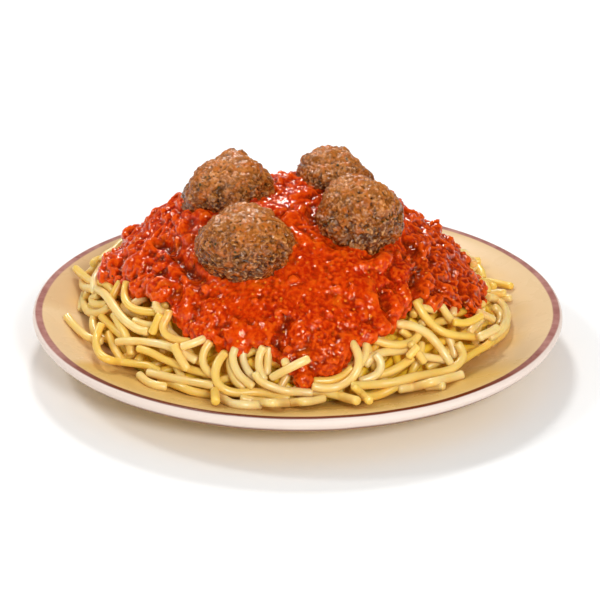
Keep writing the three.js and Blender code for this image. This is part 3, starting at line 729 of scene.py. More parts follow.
def plate_look():
    look = Look("glaze", Specular_IOR_Level=0.05)
    x, y, z = look.node("ShaderNodeSeparateXYZ", {0: look.place}).outputs
    squares = look.math("ADD", look.product(x, x), look.product(y, y))
    radius = look.product(look.math("SQRT", squares), METRE)
    wobble = look.product(look.math("SUBTRACT", look.noise(30), 0.5), 0.8)
    at = look.math("ADD", radius, wobble)
    bearing = look.math("ARCTAN2", x, look.product(y, -1.0))
    sector = {}
    for name, (start, full, fading, end) in PAINTED_LIGHT_AND_SHADE_SECTORS.items():
        sector[name] = look.least(look.between(bearing, start, full), look.between(bearing, end, fading))

    cloudy = look.between(look.noise(40, 3), 0.35, 0.65)
    look.paint = look.mix(cloudy, srgb(217, 184, 134), srgb(225, 194, 147))
    # Painted light in the lit sectors at the left and right, painted shade in the sector behind at the left
    painted_light_share = look.most(sector["left_lit"], sector["right_lit"])
    look.layer(look.product(painted_light_share, 0.35), srgb(238, 210, 170))
    look.layer(look.product(sector["left_shade"], 0.6), srgb(210, 172, 126))
    # Painted shade before the heap, tinted yellow as if lit by the noodles
    look.layer(look.product(sector["front"], look.between(at, 117, 112, 0.55, 0.9)), srgb(213, 173, 96))
    # A yellow ring round the heap's foot: partly an oil film, partly the noodles' painted reflection, with
    # light painted over their real shadow
    oil_and_painted_reflection = look.product(look.between(at, 108, 94), look.between(look.noise(24, 3), 0.36, 0.6))
    look.layer(look.product(oil_and_painted_reflection, 0.7), srgb(231, 187, 90))

    lip = srgb(234, 216, 204)
    front = look.between(y, *PLATE_FRONT)
    band = look.mix(look.between(look.noise(6, 3), 0.35, 0.7), srgb(160, 106, 98), srgb(186, 136, 126))
    # The band is painted darker at the front: painted shade
    band = look.mix(front, band, srgb(108, 44, 12))
    look.layer(look.between(look.math("SUBTRACT", at, front), BAND_INNER - 0.35, BAND_INNER + 0.25), band)
    look.layer(look.between(at, BAND_OUTER - 0.25, BAND_OUTER + 0.4), lip)
    above = look.between(z, *UNDERSIDE)
    look.layer(look.product(look.math("SUBTRACT", 1.0, above), look.between(at, 117, 119)), lip)
    chosen = look.between(look.noise(5, 1), 0.5, 0.62)
    specks = look.product(look.between(look.cells(1.6), 0.13, 0.05), chosen)
    look.layer(look.product(specks, 0.42), srgb(150, 110, 84))
    look.roughness(look.between(look.noise(12, 3), 0.3, 0.7, 0.24, 0.34))
    look.bump(look.noise(4, 1), 0.03, 0.2)
    return look.finished()


# Places of the heap that are seen at pixels

MM_PER_DEGREE = 1.5
SIGHT_DAMPING = 0.1
SIGHT_STEPS = 8
LONGEST_MOVE = 4
LINE_STEP = 2.2
SEEN_LIFT = 1.5


def smooth_line(points, step=LINE_STEP):
    """Even points along a smooth curve through the given ones."""
    points = np.asarray(points, float)
    at = np.concatenate([[0], np.cumsum(np.linalg.norm(np.diff(points, axis=0), axis=1))])
    slopes = np.gradient(points, at, axis=0)
    fine = np.linspace(0, at[-1], max(3, round(at[-1] / step) + 1))
    i = np.clip(np.searchsorted(at, fine, side="right") - 1, 0, len(points) - 2)
    width = (at[i + 1] - at[i])[:, None]
    t = (fine - at[i])[:, None] / width
    return hermite(points[i], points[i + 1], slopes[i] * width, slopes[i + 1] * width, t)


def in_image(points):
    """Pixels of the photo's frame at which points are seen, and their distance."""
    x, y, z = points[..., 0], points[..., 1], points[..., 2] - LIP_HEIGHT
    level, steep = math.cos(CAMERA_ELEVATION), math.sin(CAMERA_ELEVATION)
    away = CAMERA_DISTANCE + y * level - z * steep
    right = FOCAL_PIXELS * x / away
    down = -FOCAL_PIXELS * (y * steep + z * level) / away
    across, turn = math.cos(CAMERA_ROLL), math.sin(CAMERA_ROLL)
    pixels = np.stack([right * across - down * turn, right * turn + down * across], -1)
    return pixels + PLATE_PIXEL, away


def behind_pixels(pixels, back):
    """Points seen at pixels that lie a distance behind the plate's middle."""
    across, turn = math.cos(CAMERA_ROLL), math.sin(CAMERA_ROLL)
    level, steep = math.cos(CAMERA_ELEVATION), math.sin(CAMERA_ELEVATION)
    offset = pixels - PLATE_PIXEL
    right = (offset[:, 0] * across + offset[:, 1] * turn) / FOCAL_PIXELS
    down = (offset[:, 1] * across - offset[:, 0] * turn) / FOCAL_PIXELS
    z = -(down * (CAMERA_DISTANCE + back * level) + back * steep) / (level - down * steep)
    away = CAMERA_DISTANCE + back * level - z * steep
    return np.stack([right * away, back, z + LIP_HEIGHT], -1)


def sight_places(pixels, lifts, places):
    """Places on the heap, near the given ones, that are seen at pixels when lifted."""
    for _ in range(SIGHT_STEPS):
        bearing, rise = places[:, 0], places[:, 1]
        here = in_image(on_heap(bearing, rise, lifts))[0]
        right = in_image(on_heap(bearing + 1 / MM_PER_DEGREE, rise, lifts))[0] - here
        up = in_image(on_heap(bearing, rise + 1, lifts))[0] - here
        error = pixels - here
        a = (right ** 2).sum(1) + SIGHT_DAMPING
        b = (right * up).sum(1)
        c = (up ** 2).sum(1) + SIGHT_DAMPING
        first, second = (error * right).sum(1), (error * up).sum(1)
        whole = a * c - b * b
        move = np.stack([(c * first - b * second) / whole, (a * second - b * first) / whole], -1)
        places = places + np.clip(move, -LONGEST_MOVE, LONGEST_MOVE) / (MM_PER_DEGREE, 1)
    return places


NEAR_PLACES = np.stack(np.meshgrid(np.arange(-130, 130, 1.0), np.arange(-20, 100, 1.0)), -1).reshape(-1, 2)
NEAR_POINTS = on_heap(NEAR_PLACES[:, 0], NEAR_PLACES[:, 1], SEEN_LIFT)
NEAR_PIXELS, NEAR_AWAY = in_image(NEAR_POINTS)


def first_places(pixels):
    """Rough places seen at pixels, each near the one before it."""
    found = []
    for pixel in pixels:
        cost = ((NEAR_PIXELS - pixel) ** 2).sum(1) + 0.05 * NEAR_AWAY
        if found:
            cost = cost + 0.01 * ((NEAR_POINTS - NEAR_POINTS[found[-1]]) ** 2).sum(1)
        found.append(int(np.argmin(cost)))
    return NEAR_PLACES[found]


def traced(pixels, lift, step=LINE_STEP):
    """Pixels along a smooth line, and the places seen there at one lift."""
    line = smooth_line(pixels, step)
    return line, sight_places(line, np.full(len(line), lift), first_places(line))


# Noodles, laid one on another: the pile is a lift for each cell of the heap's surface

CELL_DEGREES = 1 / 3
CELL_RISE = 0.5
CELL_COLUMNS = 1080
CELL_ROWS = 140
COLUMNS_AT_ONCE = 6
PILE_SEED, FILLER_SEED, DRAWN_SEED = 3, 41, 7
STIFFNESS = 0.035
PRESSED_RADIUS = 0.82 * NOODLE_RADIUS
CORE_DEPTH = 6.5
CORE_BEARING_STEP = 3.0
CORE_SHARES = (0.98, 0.92, 0.84, 0.76, 0.68, 0.6, 0.52, 0.44, 0.36, 0.28, 0.2, 0.12, 0.06, 0.02)
FILLERS = 1150
FILLER_CAP = 0.7
LOWEST_FILLER = -4
SHORTEST_FILLER = 13
SHORTEST_DRAWN = 9
LOWEST_DRAWN = -12
FILLER_UNDER_SAUCE, DRAWN_UNDER_SAUCE = 7, 6
GIRTH = (1.07, 1.19)
# Sides of a tube and the length of its rings
FILLER_TUBE = (8, 2.0)
SEEN_TUBE = (12, 1.3)
# Places from a tube's end, and how much of its girth it has there
BLUNT_END = (0, 0.25, 0.9)
BLUNT_GIRTH = (0.62, 0.88)


def plate_lift(bearing, rise):
    """Lift at which the plate is met below the bare surface, found by halving."""
    point, _, _, outward = surface_frame(bearing, rise)
    low = np.full(len(point), -14.0)
    high = np.full(len(point), 0.5)
    for _ in range(14):
        middle = (low + high) / 2
        at = point + outward * middle[:, None]
        inside = at[:, 2] < plate_top(np.hypot(at[:, 0], at[:, 1]))
        low = np.where(inside, middle, low)
        high = np.where(inside, high, middle)
    return high


def bare_pile():
    """Lift of what noodles rest on, in cells: the core, and the plate below its foot."""
    columns = np.arange(0, CELL_COLUMNS, COLUMNS_AT_ONCE) * CELL_DEGREES
    rises = LOWEST_RISE + np.arange(CELL_ROWS) * CELL_RISE
    bearing, rise = (grid.ravel() for grid in np.meshgrid(columns, rises, indexing="ij"))
    on_plate = plate_lift(bearing, rise).reshape(len(columns), -1) + 0.1
    return np.repeat(np.maximum(on_plate, -CORE_DEPTH), COLUMNS_AT_ONCE, axis=0).ravel()


def walk(start, arcs):
    """Places along a drawn noodle as bearing and rise, a millimetre apart."""
    bearing, rise, heading = start
    places = [(bearing, rise)]
    for length, bend in arcs:
        count = max(1, round(length))
        for _ in range(count):
            heading += bend / count / 2
            radius = float(section(bearing, rise)[0])
            bearing += length / count * math.cos(heading * DEGREE) / radius / DEGREE
            rise += length / count * math.sin(heading * DEGREE)
            heading += bend / count / 2
            places.append((bearing, rise))
    return np.array(places)


def longest_run(keep):
    """First and last-plus-one place of the longest stretch that keep holds for."""
    best = run = (0, 0)
    for i, good in enumerate(keep):
        run = (run[0], i + 1) if good else (i + 1, i + 1)
        if run[1] - run[0] > best[1] - best[0]:
            best = run
    return best


def window(bearing, rise, reach):
    """Cells within reach of a place, and their distance from it squared."""
    width = CELL_DEGREES * DEGREE * float(section(bearing, rise)[0])
    across = math.ceil(reach / width)
    up = math.ceil(reach / CELL_RISE)
    column = round(bearing / CELL_DEGREES)
    row = round((rise - LOWEST_RISE) / CELL_RISE)
    i = np.arange(-across, across + 1)[:, None]
    j = np.arange(-up, up + 1)[None, :]
    distance = (i * width) ** 2 + (j * CELL_RISE) ** 2
    near = (distance < reach ** 2) & (row + j >= 0) & (row + j < CELL_ROWS)
    found = (column + i) % CELL_COLUMNS * CELL_ROWS + row + j
    return found[near], distance[near]


def arched_lift(pile, places):
    """How high each place lies: on what is there, and arched over it."""
    resting = []
    for bearing, rise in places:
        found, distance = window(bearing, rise, NOODLE_RADIUS)
        resting.append(np.max(pile[found] + np.sqrt(NOODLE_RADIUS ** 2 - distance)) if len(found) else 0)
    resting = np.array(resting)
    order = np.arange(len(resting))
    sag = STIFFNESS * (order[:, None] - order[None, :]) ** 2
    arched = np.max(resting[None, :] - sag, axis=1)
    padded = np.pad(arched, 2, mode="edge")
    return np.convolve(padded, [0.1, 0.2, 0.4, 0.2, 0.1], mode="valid")


def evened(values):
    """Values along a line with their small steps smoothed out."""
    weights = np.array([1, 3, 5, 6, 5, 3, 1])
    return np.convolve(np.pad(values, 3, mode="edge"), weights / weights.sum(), mode="valid")


def stamp(pile, places, lifts):
    """Raises the pile by a noodle that lies at the places."""
    for (bearing, rise), lift in zip(places, lifts):
        found, distance = window(bearing, rise, PRESSED_RADIUS)
        pile[found] = np.maximum(pile[found], lift + np.sqrt(PRESSED_RADIUS ** 2 - distance))


def tube(points, radius, sides, step, random):
    """Points and triangles of a noodle along a line, with blunt rounded ends."""
    lengths = np.concatenate([[0], np.cumsum(np.linalg.norm(np.diff(points, axis=0), axis=1))])
    total = lengths[-1]
    first, second, full = BLUNT_END
    inner = np.linspace(full, total - full, max(4, round(total / step)))
    at = np.concatenate([[first, second], inner, [total - second, total]])
    girth = np.concatenate([BLUNT_GIRTH, np.ones(len(inner)), BLUNT_GIRTH[::-1]])
    centre = np.stack([np.interp(at, lengths, points[:, i]) for i in range(3)], 1)
    swell = 1 + 0.035 * np.sin(at / random(5, 9) + random(0, 6)) + 0.02 * np.sin(at / 2.1 + random(0, 6))
    tangent = unit(np.gradient(centre, axis=0))
    normal = unit(np.cross(tangent[0], (0.3, 0.2, 1)))
    angles = circle(sides)[:, None]
    rings = []
    for i in range(len(at)):
        normal = unit(normal - tangent[i] * np.dot(normal, tangent[i]))
        side = np.cross(tangent[i], normal)
        size = radius * girth[i] * swell[i]
        rings.append(centre[i] + size * (np.cos(angles) * normal + np.sin(angles) * side))
    return closed_rings(np.array(rings), centre[0], centre[-1])


class Pile:
    """The noodles laid so far, and how high they reach over each cell."""

    def __init__(self, seed):
        self.lifts = bare_pile()
        self.random = make_random(seed)
        self.parts = []
        self.numbers = []

    def add_tube(self, points, stain, depth, sides, step):
        radius = NOODLE_RADIUS * self.random(*GIRTH)
        part = tube(points, radius, sides, step, self.random)
        self.parts.append(part)
        along = np.linspace(0, len(points) - 1, (len(part[0]) - 2) // sides)
        rows = [np.full(len(part[0]), self.random())]
        for values in (stain, depth):
            values = np.repeat(np.interp(along, np.arange(len(points)), values), sides)
            rows.append(np.append(values, [values[0], values[-1]]))
        self.numbers.append(rows)

    def lay(self, places, lifts, sides, step, line=None):
        """Adds a noodle at places, or at the pixels of a line as far back as the places are."""
        stamp(self.lifts, places, lifts)
        points = on_heap(places[:, 0], places[:, 1], lifts)
        if line is not None:
            points = behind_pixels(line, evened(evened(points[:, 1])))
        under = edge_rise(places[:, 0]) - places[:, 1]
        stain = np.clip(1 - under / self.random(2.5, 7), 0, 1) * self.random(0.3, 1)
        # How deep a noodle lies in the pile, which sets its painted shade
        depth = np.clip((1.5 - lifts) / 4.5, 0, 1)
        self.add_tube(points, stain, depth, sides, step)

    def lay_fillers(self, random):
        """Noodles at random in the hollows between others."""
        for _ in range(FILLERS):
            bearing = random(0, 360)
            edge = float(edge_rise(bearing))
            start = (bearing, random(-3, edge + 4), random(-55, 55) + (180 if random() < 0.5 else 0))
            arcs = ((random(12, 26), random(-50, 50)), (random(12, 26), random(-60, 60)))
            places = walk(start, arcs)
            covered = edge_rise(places[:, 0]) + FILLER_UNDER_SAUCE
            first, last = longest_run((places[:, 1] > LOWEST_FILLER) & (places[:, 1] < covered))
            places = places[first:last]
            if len(places) < SHORTEST_FILLER:
                continue
            lifts = arched_lift(self.lifts, places)
            first, last = longest_run(lifts < FILLER_CAP)
            if last - first >= SHORTEST_FILLER:
                self.lay(places[first:last], lifts[first:last], *FILLER_TUBE)

    def lay_drawn(self, random):
        """Noodles at random where the photo doesn't show the heap."""
        low, high = DRAWN_BEARINGS
        for i in range(DRAWN_NOODLES):
            bearing = low + (high - low) * (i + random()) / DRAWN_NOODLES
            heading = random(-34, 34) + (180 if random() < 0.5 else 0)
            places = walk((bearing, random(*DRAWN_RISES), heading), ((random(26, 46), random(-60, 60)),))
            covered = edge_rise(places[:, 0]) + DRAWN_UNDER_SAUCE
            first, last = longest_run((places[:, 1] > LOWEST_DRAWN) & (places[:, 1] < covered))
            if last - first >= SHORTEST_DRAWN:
                places = places[first:last]
                self.lay(places, arched_lift(self.lifts, places), *SEEN_TUBE)

    def lay_seen(self, pixels):
        """A noodle at its pixels, on what already lies there."""
        line, places = traced(pixels, SEEN_LIFT)
        for _ in range(3):
            places = sight_places(line, evened(arched_lift(self.lifts, places)), places)
        self.lay(places, evened(arched_lift(self.lifts, places)), *SEEN_TUBE, line)

    def add_free(self, route):
        """A noodle at its pixels, as far back as the route says."""
        line = smooth_line(route)
        none = np.zeros(len(line))
        self.add_tube(behind_pixels(line[:, :2], line[:, 2]), none, none, *SEEN_TUBE)


def make_noodles():
    pile = Pile(PILE_SEED)
    pile.lay_fillers(make_random(FILLER_SEED))
    pile.lay_drawn(make_random(DRAWN_SEED))
    for pixels in SEEN_NOODLES.values():
        pile.lay_seen(pixels)
    for route in FREE_NOODLES.values():
        pile.add_free(route)
    points, faces = joined(pile.parts)
    tone, stain, depth = (np.concatenate(rows) for rows in zip(*pile.numbers))
    return add_mesh("noodles", points, faces[:, ::-1], tone=tone, stain=stain, depth=depth)


def make_core():
    bearings = np.arange(0, 360, CORE_BEARING_STEP)
    rings = np.array([on_heap(bearings, share * top_rise(bearings), -CORE_DEPTH) for share in CORE_SHARES])
    radius = np.hypot(rings[..., 0], rings[..., 1])
    rings[..., 2] = np.maximum(rings[..., 2], plate_top(radius) + GAP)
    top = (0, 0, float(surface(0.0, OVER_THE_TOP)[2]) - CORE_DEPTH)
    points, faces = closed_rings(rings, top, (0, 0, WELL_HEIGHT + GAP))
    return add_mesh("noodle_core", points, faces)


def pasta(name):
    return Look(name, Subsurface_Weight=0.5, Subsurface_Scale=0.004, Specular_IOR_Level=1.0,
                Subsurface_Radius=(1.0, 0.75, 0.3))


def noodle_look():
    look = pasta("pasta_noodles")
    look.paint = look.mix(look.numbers("tone"), srgb(255, 206, 90), srgb(255, 222, 160))
    look.layer(look.between(look.noise(9, 3), 0.35, 0.7, 0, 0.45), srgb(255, 200, 70))
    # Noodles deep in the pile are painted a deeper yellow: painted shade
    look.layer(look.product(look.numbers("depth"), 0.9), srgb(255, 202, 10))
    stain = look.product(look.numbers("stain"), look.between(look.noise(3, 3), 0.35, 0.65))
    look.layer(look.product(stain, 0.75), srgb(238, 132, 48))
    look.roughness(look.between(look.noise(4, 2), 0.3, 0.7, 0.28, 0.42))
    look.bump(look.noise(2.2, 2), 0.06, 0.3)
    return look.finished()


def core_look():
    look = pasta("pasta_painted_shade")
    # The core has the noodles' colour in painted shade, as deep in the pile
    look.paint = look.mix(look.noise(5, 2), srgb(255, 196, 14), srgb(255, 212, 44))
    look.roughness(0.6)
    look.bump(look.noise(3, 2, distortion=1.5), 0.8, 1.0)
    return look.finished()


# Sauce

LUMP_SEED, LOBE_SEED = 23, 57
LUMP_COUNT = 60
LUMP_LAYER = 2.4
SUNKEN_EDGE = 1
SAUCE_UNDERSIDE = -1.5
SAUCE_RINGS = 50
UNDERSIDE_SHARES = (0.02, 0.1, 0.3, 0.5, 0.7, 0.9, 0.98)
DRAWN_LOBES = 240
LOBE_TILT = (-0.35, 0.35)
BLOB_SIDES, BLOB_RINGS = 14, 8
SAUCE_VOXEL = 0.64
SAUCE_TRIANGLES = 195000


def draw_lumps():
    random = make_random(LUMP_SEED)
    lumps = []
    for _ in range(LUMP_COUNT):
        bearing = random(0, 360)
        top, edge = float(top_rise(bearing)), float(edge_rise(bearing))
        rise = edge + (top - edge) * (1 - math.sqrt(random())) * 0.95
        lumps.append((surface(bearing, rise), random(3, 6.5), random(0.8, 2.8)))
    return lumps


LUMPS = draw_lumps()


def fine_edge(bearing):
    """The sauce's edge with the small wiggles of its lobes."""
    angle = bearing * DEGREE
    wiggle = (0.9 * np.sin(23 * angle + 1) + 0.8 * np.sin(37 * angle + 2.4)
              + 0.7 * np.sin(61 * angle + 0.4) + 0.5 * np.sin(89 * angle + 5))
    return edge_rise(bearing) + wiggle


def sauce_lift(bearing, rise, edge):
    """How thick the sauce lies, with its lumps and its rounded edge."""
    inside = np.minimum((rise - edge) / SAUCE_THICKNESS, 1)
    rounding = np.sqrt(np.maximum(0, 1 - (1 - inside) ** 2))
    place = surface(bearing, rise)
    lump = 0
    for centre, spread, height in LUMPS:
        lump = lump + height * np.exp(-((place - centre) ** 2).sum(-1) / (2 * spread ** 2))
    return (SAUCE_THICKNESS + SUNKEN_EDGE + lump - LUMP_LAYER) * rounding - SUNKEN_EDGE


def sauce_layer():
    """Points and faces of the sauce without its lobes."""
    bearings = np.arange(0, 360, 1.0)
    edge = fine_edge(bearings)
    reach = top_rise(bearings) - edge
    rings = []
    for share in 0.985 * (np.arange(SAUCE_RINGS)[::-1] / (SAUCE_RINGS - 1)) ** 1.7:
        rise = edge + share * reach
        rings.append(on_heap(bearings, rise, sauce_lift(bearings, rise, edge)))
    for share in UNDERSIDE_SHARES:
        rings.append(on_heap(bearings, edge + share * reach, SAUCE_UNDERSIDE))
    height = float(surface(0.0, OVER_THE_TOP)[2])
    poles = (0, 0, height + SAUCE_THICKNESS), (0, 0, height + SAUCE_UNDERSIDE)
    return closed_rings(np.array(rings), *poles)


def blob(centre, axes, sizes):
    """Points and faces of a ball stretched along three directions."""
    polar = np.linspace(0, math.pi, BLOB_RINGS + 2)[1:-1]
    angles = circle(BLOB_SIDES)
    ball = np.stack([
        np.sin(polar)[:, None] * np.cos(angles),
        np.sin(polar)[:, None] * np.sin(angles),
        np.repeat(np.cos(polar)[:, None], BLOB_SIDES, 1),
    ], -1)
    stretch = np.array([axes[i] * sizes[i] for i in range(3)])
    poles = np.array([(0, 0, 1), (0, 0, -1)]) @ stretch + centre
    return closed_rings(ball @ stretch + centre, poles[0], poles[1])


def lobe(bearing, rise, lift, sizes, turn, tilt=(0.0, 0.0)):
    """A blob over a place, turned in the surface and tilted out of it."""
    point, along, up, outward = surface_frame(bearing, rise)
    first = along * math.cos(turn) + up * math.sin(turn)
    second = np.cross(outward, first)
    normal = unit(outward + tilt[0] * first + tilt[1] * second)
    first = unit(np.cross(second, normal))
    return blob(point + outward * lift, (first, np.cross(normal, first), normal), sizes)


def seen_lobes():
    lobes = []
    for (x, y), wide, high, thick, turn, lift in SEEN_LOBES.values():
        place = traced([(x, y), (x + 1, y)], lift + thick * 0.6)[1][0]
        lobes.append(lobe(place[0], place[1], lift, (wide, high, thick), turn * DEGREE))
    return lobes


def drawn_lobes():
    """Lobes at random, every third at the edge, smaller where the photo shows them."""
    random = make_random(LOBE_SEED)
    lobes = []
    for i in range(DRAWN_LOBES):
        bearing = random(0, 360)
        low, high = float(fine_edge(bearing)), float(top_rise(bearing))
        share = random() ** 1.5 if i % 3 else random(0.0, 0.06)
        rise = low + 2.5 + (high - low - 12) * share
        seen = math.cos(bearing * DEGREE) > -0.2
        size = random(1.4, 2.8) if seen else random(2.4, 6)
        lift = float(sauce_lift(bearing, rise, low)) - size * random(0.0, 0.3) + (0.8 if seen else 0)
        sizes = (size, size * random(0.65, 1), size * random(0.6, 0.85))
        turn = random(0, math.pi)
        lobes.append(lobe(bearing, rise, lift, sizes, turn, (random(*LOBE_TILT), random(*LOBE_TILT))))
    return lobes


def sauce_relief(points):
    """Folds, wrinkles and grains of the sauce, the folds at its left, right and back."""
    folded = np.clip((points[:, 0] - 46) / 8, 0, 1) + 0.7 * np.clip((-points[:, 0] - 52) / 8, 0, 1)
    folded = np.maximum(folded, 0.75 * np.clip((points[:, 1] + 12) / 10, 0, 1))
    warp = drift(points, 9, 11, 2.5)
    folds = 1 - 2.4 * np.abs(swirl(points + warp, 9, 5))
    wrinkles = 1 - 2.4 * np.abs(swirl(points + warp * 0.6, 4.6, 6))
    chunks = 0.55 - cells(points + 0.3 * warp, 2.7, 8)[0]
    grains = 0.5 - cells(points, 1.5, 10)[0]
    rough = 0.5 + 0.5 * np.clip(0.5 + 1.4 * swirl(points, 17, 12), 0, 1)
    return ((0.3 + 0.7 * folded) * (1.1 * folds + 0.9 * wrinkles - 1) + 0.7 * swirl(points, 7, 7)
            + rough * (0.75 * chunks + 0.6 * grains + 0.3 * swirl(points, 1.7, 9)))


def sauce_creases(points):
    """Depth of the creases at each point."""
    crease = np.zeros(len(points))
    for width, depth, pixels in SEEN_CREASES.values():
        places = traced(pixels, SAUCE_THICKNESS, 1.5)[1]
        line = on_heap(places[:, 0], places[:, 1], SAUCE_THICKNESS)
        close = np.flatnonzero(np.all((points > line.min(0) - 9) & (points < line.max(0) + 9), axis=1))
        off = np.min(((points[close, None] - line[None]) ** 2).sum(-1), axis=1)
        crease[close] += depth * np.exp(-off / (2 * width ** 2))
    return crease


def make_sauce():
    sauce = add_mesh("tomato_sauce", *joined([sauce_layer()] + seen_lobes() + drawn_lobes()))
    remesh(sauce, SAUCE_VOXEL, 2)
    mesh = sauce.data
    points, normals = points_of(mesh), normals_of(mesh)
    crease = sauce_creases(points)
    outer = np.clip((normals * unit(points + (0, 0, 40))).sum(1) / 0.3 + 1, 0, 1)
    move_points(mesh, points + normals * ((sauce_relief(points) - crease) * outer)[:, None])
    set_numbers(mesh, "fine", hollows(mesh, 4))
    set_numbers(mesh, "broad", hollows(mesh, 30))
    set_numbers(mesh, "crease", crease)
    thin_out(sauce, SAUCE_TRIANGLES)
    return sauce


def sauce_look():
    look = Look("tomato", Subsurface_Weight=0.1, Subsurface_Scale=0.0015, Subsurface_Radius=(1, 0.2, 0.05),
                Specular_IOR_Level=0.55, Specular_Tint=(1, 0.74, 0.5, 1))
    x, y, _ = look.node("ShaderNodeSeparateXYZ", {0: look.place}).outputs
    fine, broad, crease = look.numbers("fine"), look.numbers("broad"), look.numbers("crease")
    cloudy = look.between(look.noise(16, 3, 0.6), 0.35, 0.65)
    look.paint = look.mix(cloudy, srgb(188, 32, 0), srgb(214, 56, 0))
    look.layer(look.between(look.noise(7, 3, 0.6), 0.55, 0.68, 0, 0.6), srgb(236, 104, 8))
    # Painted shade over the sauce's right side and front
    shaded = look.most(look.between(x, 0.044, 0.056, 0, 0.55), look.between(y, -0.076, -0.084, 0, 0.45))
    look.layer(shaded, srgb(140, 34, 0))
    # Painted light on the small ridges
    look.layer(look.product(look.between(fine, 0.0, 0.22), 0.72), srgb(240, 92, 12))
    # Painted shade in the broad hollows, the small dips and the creases
    look.layer(look.product(look.between(broad, -0.15, -1.3), 0.97), srgb(70, 12, 0))
    look.layer(look.product(look.between(fine, 0.0, -0.24), 0.55), srgb(124, 26, 0))
    look.layer(look.between(crease, 1.2, 4.2, 0, 0.85), srgb(84, 16, 0))
    pulp = look.between(look.noise(1.6, 3, 0.6), 0.5, 0.68)
    look.layer(look.product(pulp, 0.35), srgb(250, 96, 12))
    chosen = look.between(look.noise(5, 2), 0.5, 0.62)
    flecks = look.product(look.between(look.cells(3.1), 0.24, 0.12), chosen)
    look.layer(look.product(flecks, 0.8), srgb(250, 150, 40))
    herbs = look.product(look.between(look.cells(6.1), 0.1, 0.06), look.between(look.noise(11), 0.5, 0.56))
    look.layer(herbs, srgb(90, 40, 14))
    look.roughness(look.between(look.noise(2.4, 3), 0.35, 0.7, 0.06, 0.17))
    grains = look.product(look.cells(1.0, feature="SMOOTH_F1"), 0.7)
    look.bump(look.math("ADD", look.noise(1.2, 3, 0.6), grains), 0.25, 0.5)
    return look.finished()


# Meatballs

FIRST_MEATBALL_SEED = 101
MEATBALL_BUMPS = 34


def meat_relief(points):
    """Crags, crumbs and pits of a meatball, and the tone of its crumbs."""
    warp = drift(points, 5, 31, 1.6)
    crags = 0.5 - cells(points + warp, 6, 33)[0]
    inner, outer, tone = cells(points + warp * 0.8, 2.7, 34)
    crumbs = (tone - 0.5) * np.clip((outer - inner) / 0.3, 0, 1)
    pits = np.clip(swirl(points + warp, 3.4, 35) - 0.42, 0, 1)
    ridges = 0.5 - 2.2 * np.abs(swirl(points + warp, 5.4, 40))
    relief = (1.8 * crags + 0.7 * crumbs + 0.5 * ridges + 0.5 * swirl(points + warp, 3.4, 37)
              + 0.5 * swirl(points, 1.6, 36) + 0.14 * swirl(points, 0.9, 39) - 1.2 * pits
              + 1.1 * swirl(points, 10, 38))
    return relief, tone


def make_meatball(name, seed):
    radius, centre, stretch, dents = MEATBALLS[name]
    random = make_random(seed)
    bumps = [(unit(np.array(way)), height, sharpness) for way, height, sharpness in dents]
    for _ in range(MEATBALL_BUMPS):
        direction = unit(np.array([random(-1, 1), random(-1, 1), random(-1, 1)]))
        bumps.append((direction, random(-0.1, 0.1), random(6, 26)))
    bpy.ops.mesh.primitive_ico_sphere_add(subdivisions=7, radius=1 / METRE)
    piece = bpy.context.object
    piece.name = piece.data.name = name.replace("meatball", "meat")
    mesh = piece.data
    direction = unit(points_of(mesh))
    swell = np.ones(len(direction))
    for way, height, sharpness in bumps:
        swell += height * np.exp(sharpness * (direction @ way - 1))
    points = direction * (swell * radius)[:, None]
    relief, tone = meat_relief(points + 50 * seed)
    points = points + direction * relief[:, None]
    move_points(mesh, points * stretch + centre)
    shade_smooth(mesh)
    set_numbers(mesh, "fine", hollows(mesh, 4))
    set_numbers(mesh, "broad", hollows(mesh, 40))
    set_numbers(mesh, "tone", tone)
    # How far each point faces up, which sets the painted light and shade
    set_numbers(mesh, "upper", direction[:, 2])
    return piece


def meat_look():
    look = Look("browned_meat", Specular_IOR_Level=0.85, Specular_Tint=(1, 0.86, 0.7, 1))
    fine, broad = look.numbers("fine"), look.numbers("broad")
    tone, upper = look.numbers("tone"), look.numbers("upper")
    cloudy = look.between(look.noise(8, 4, 0.7), 0.44, 0.56)
    look.paint = look.mix(cloudy, srgb(72, 28, 0), srgb(156, 76, 10))
    streaks = look.between(look.noise(2.2, 4, 0.75, 1.0), 0.46, 0.58)
    look.layer(look.product(streaks, 0.6), srgb(212, 128, 44))
    # Painted light on the tops, painted shade underneath
    look.layer(look.between(upper, 0.3, 0.95, 0, 0.45), srgb(226, 140, 62))
    look.layer(look.between(upper, 0.5, -0.2, 0, 0.75), srgb(74, 28, 0))
    look.layer(look.between(tone, 0.4, 0.0, 0, 0.3), srgb(70, 28, 2))
    look.layer(look.between(tone, 0.72, 1.0, 0, 0.35), srgb(236, 156, 76))
    # Painted highlights on the small ridges
    look.layer(look.between(fine, 0.08, 0.34, 0, 0.7), srgb(244, 178, 104))
    crust = look.product(look.between(broad, 0.2, 0.9), look.between(look.noise(5, 3), 0.4, 0.56))
    look.layer(look.product(crust, 0.8), srgb(100, 36, 14))
    oil = look.between(look.noise(5, 3, distortion=0.6), 0.54, 0.64)
    look.layer(look.product(oil, 0.4), srgb(216, 104, 16))
    chosen = look.between(look.noise(6.5, 2), 0.52, 0.6)
    herbs = look.product(look.between(look.cells(3.4), 0.24, 0.14), chosen)
    look.layer(herbs, srgb(60, 58, 22))
    # Painted shade in the small and broad hollows
    hollow = look.most(look.between(fine, -0.04, -0.3, 0, 0.9), look.between(broad, -0.1, -1.0, 0, 0.8))
    look.layer(hollow, srgb(36, 14, 2))
    look.roughness(look.between(look.noise(3, 3), 0.35, 0.65, 0.1, 0.26))
    grains = look.product(look.cells(0.8), 0.4)
    look.bump(look.math("ADD", look.noise(0.9, 3, 0.65), grains), 0.35, 0.7)
    return look.finished()


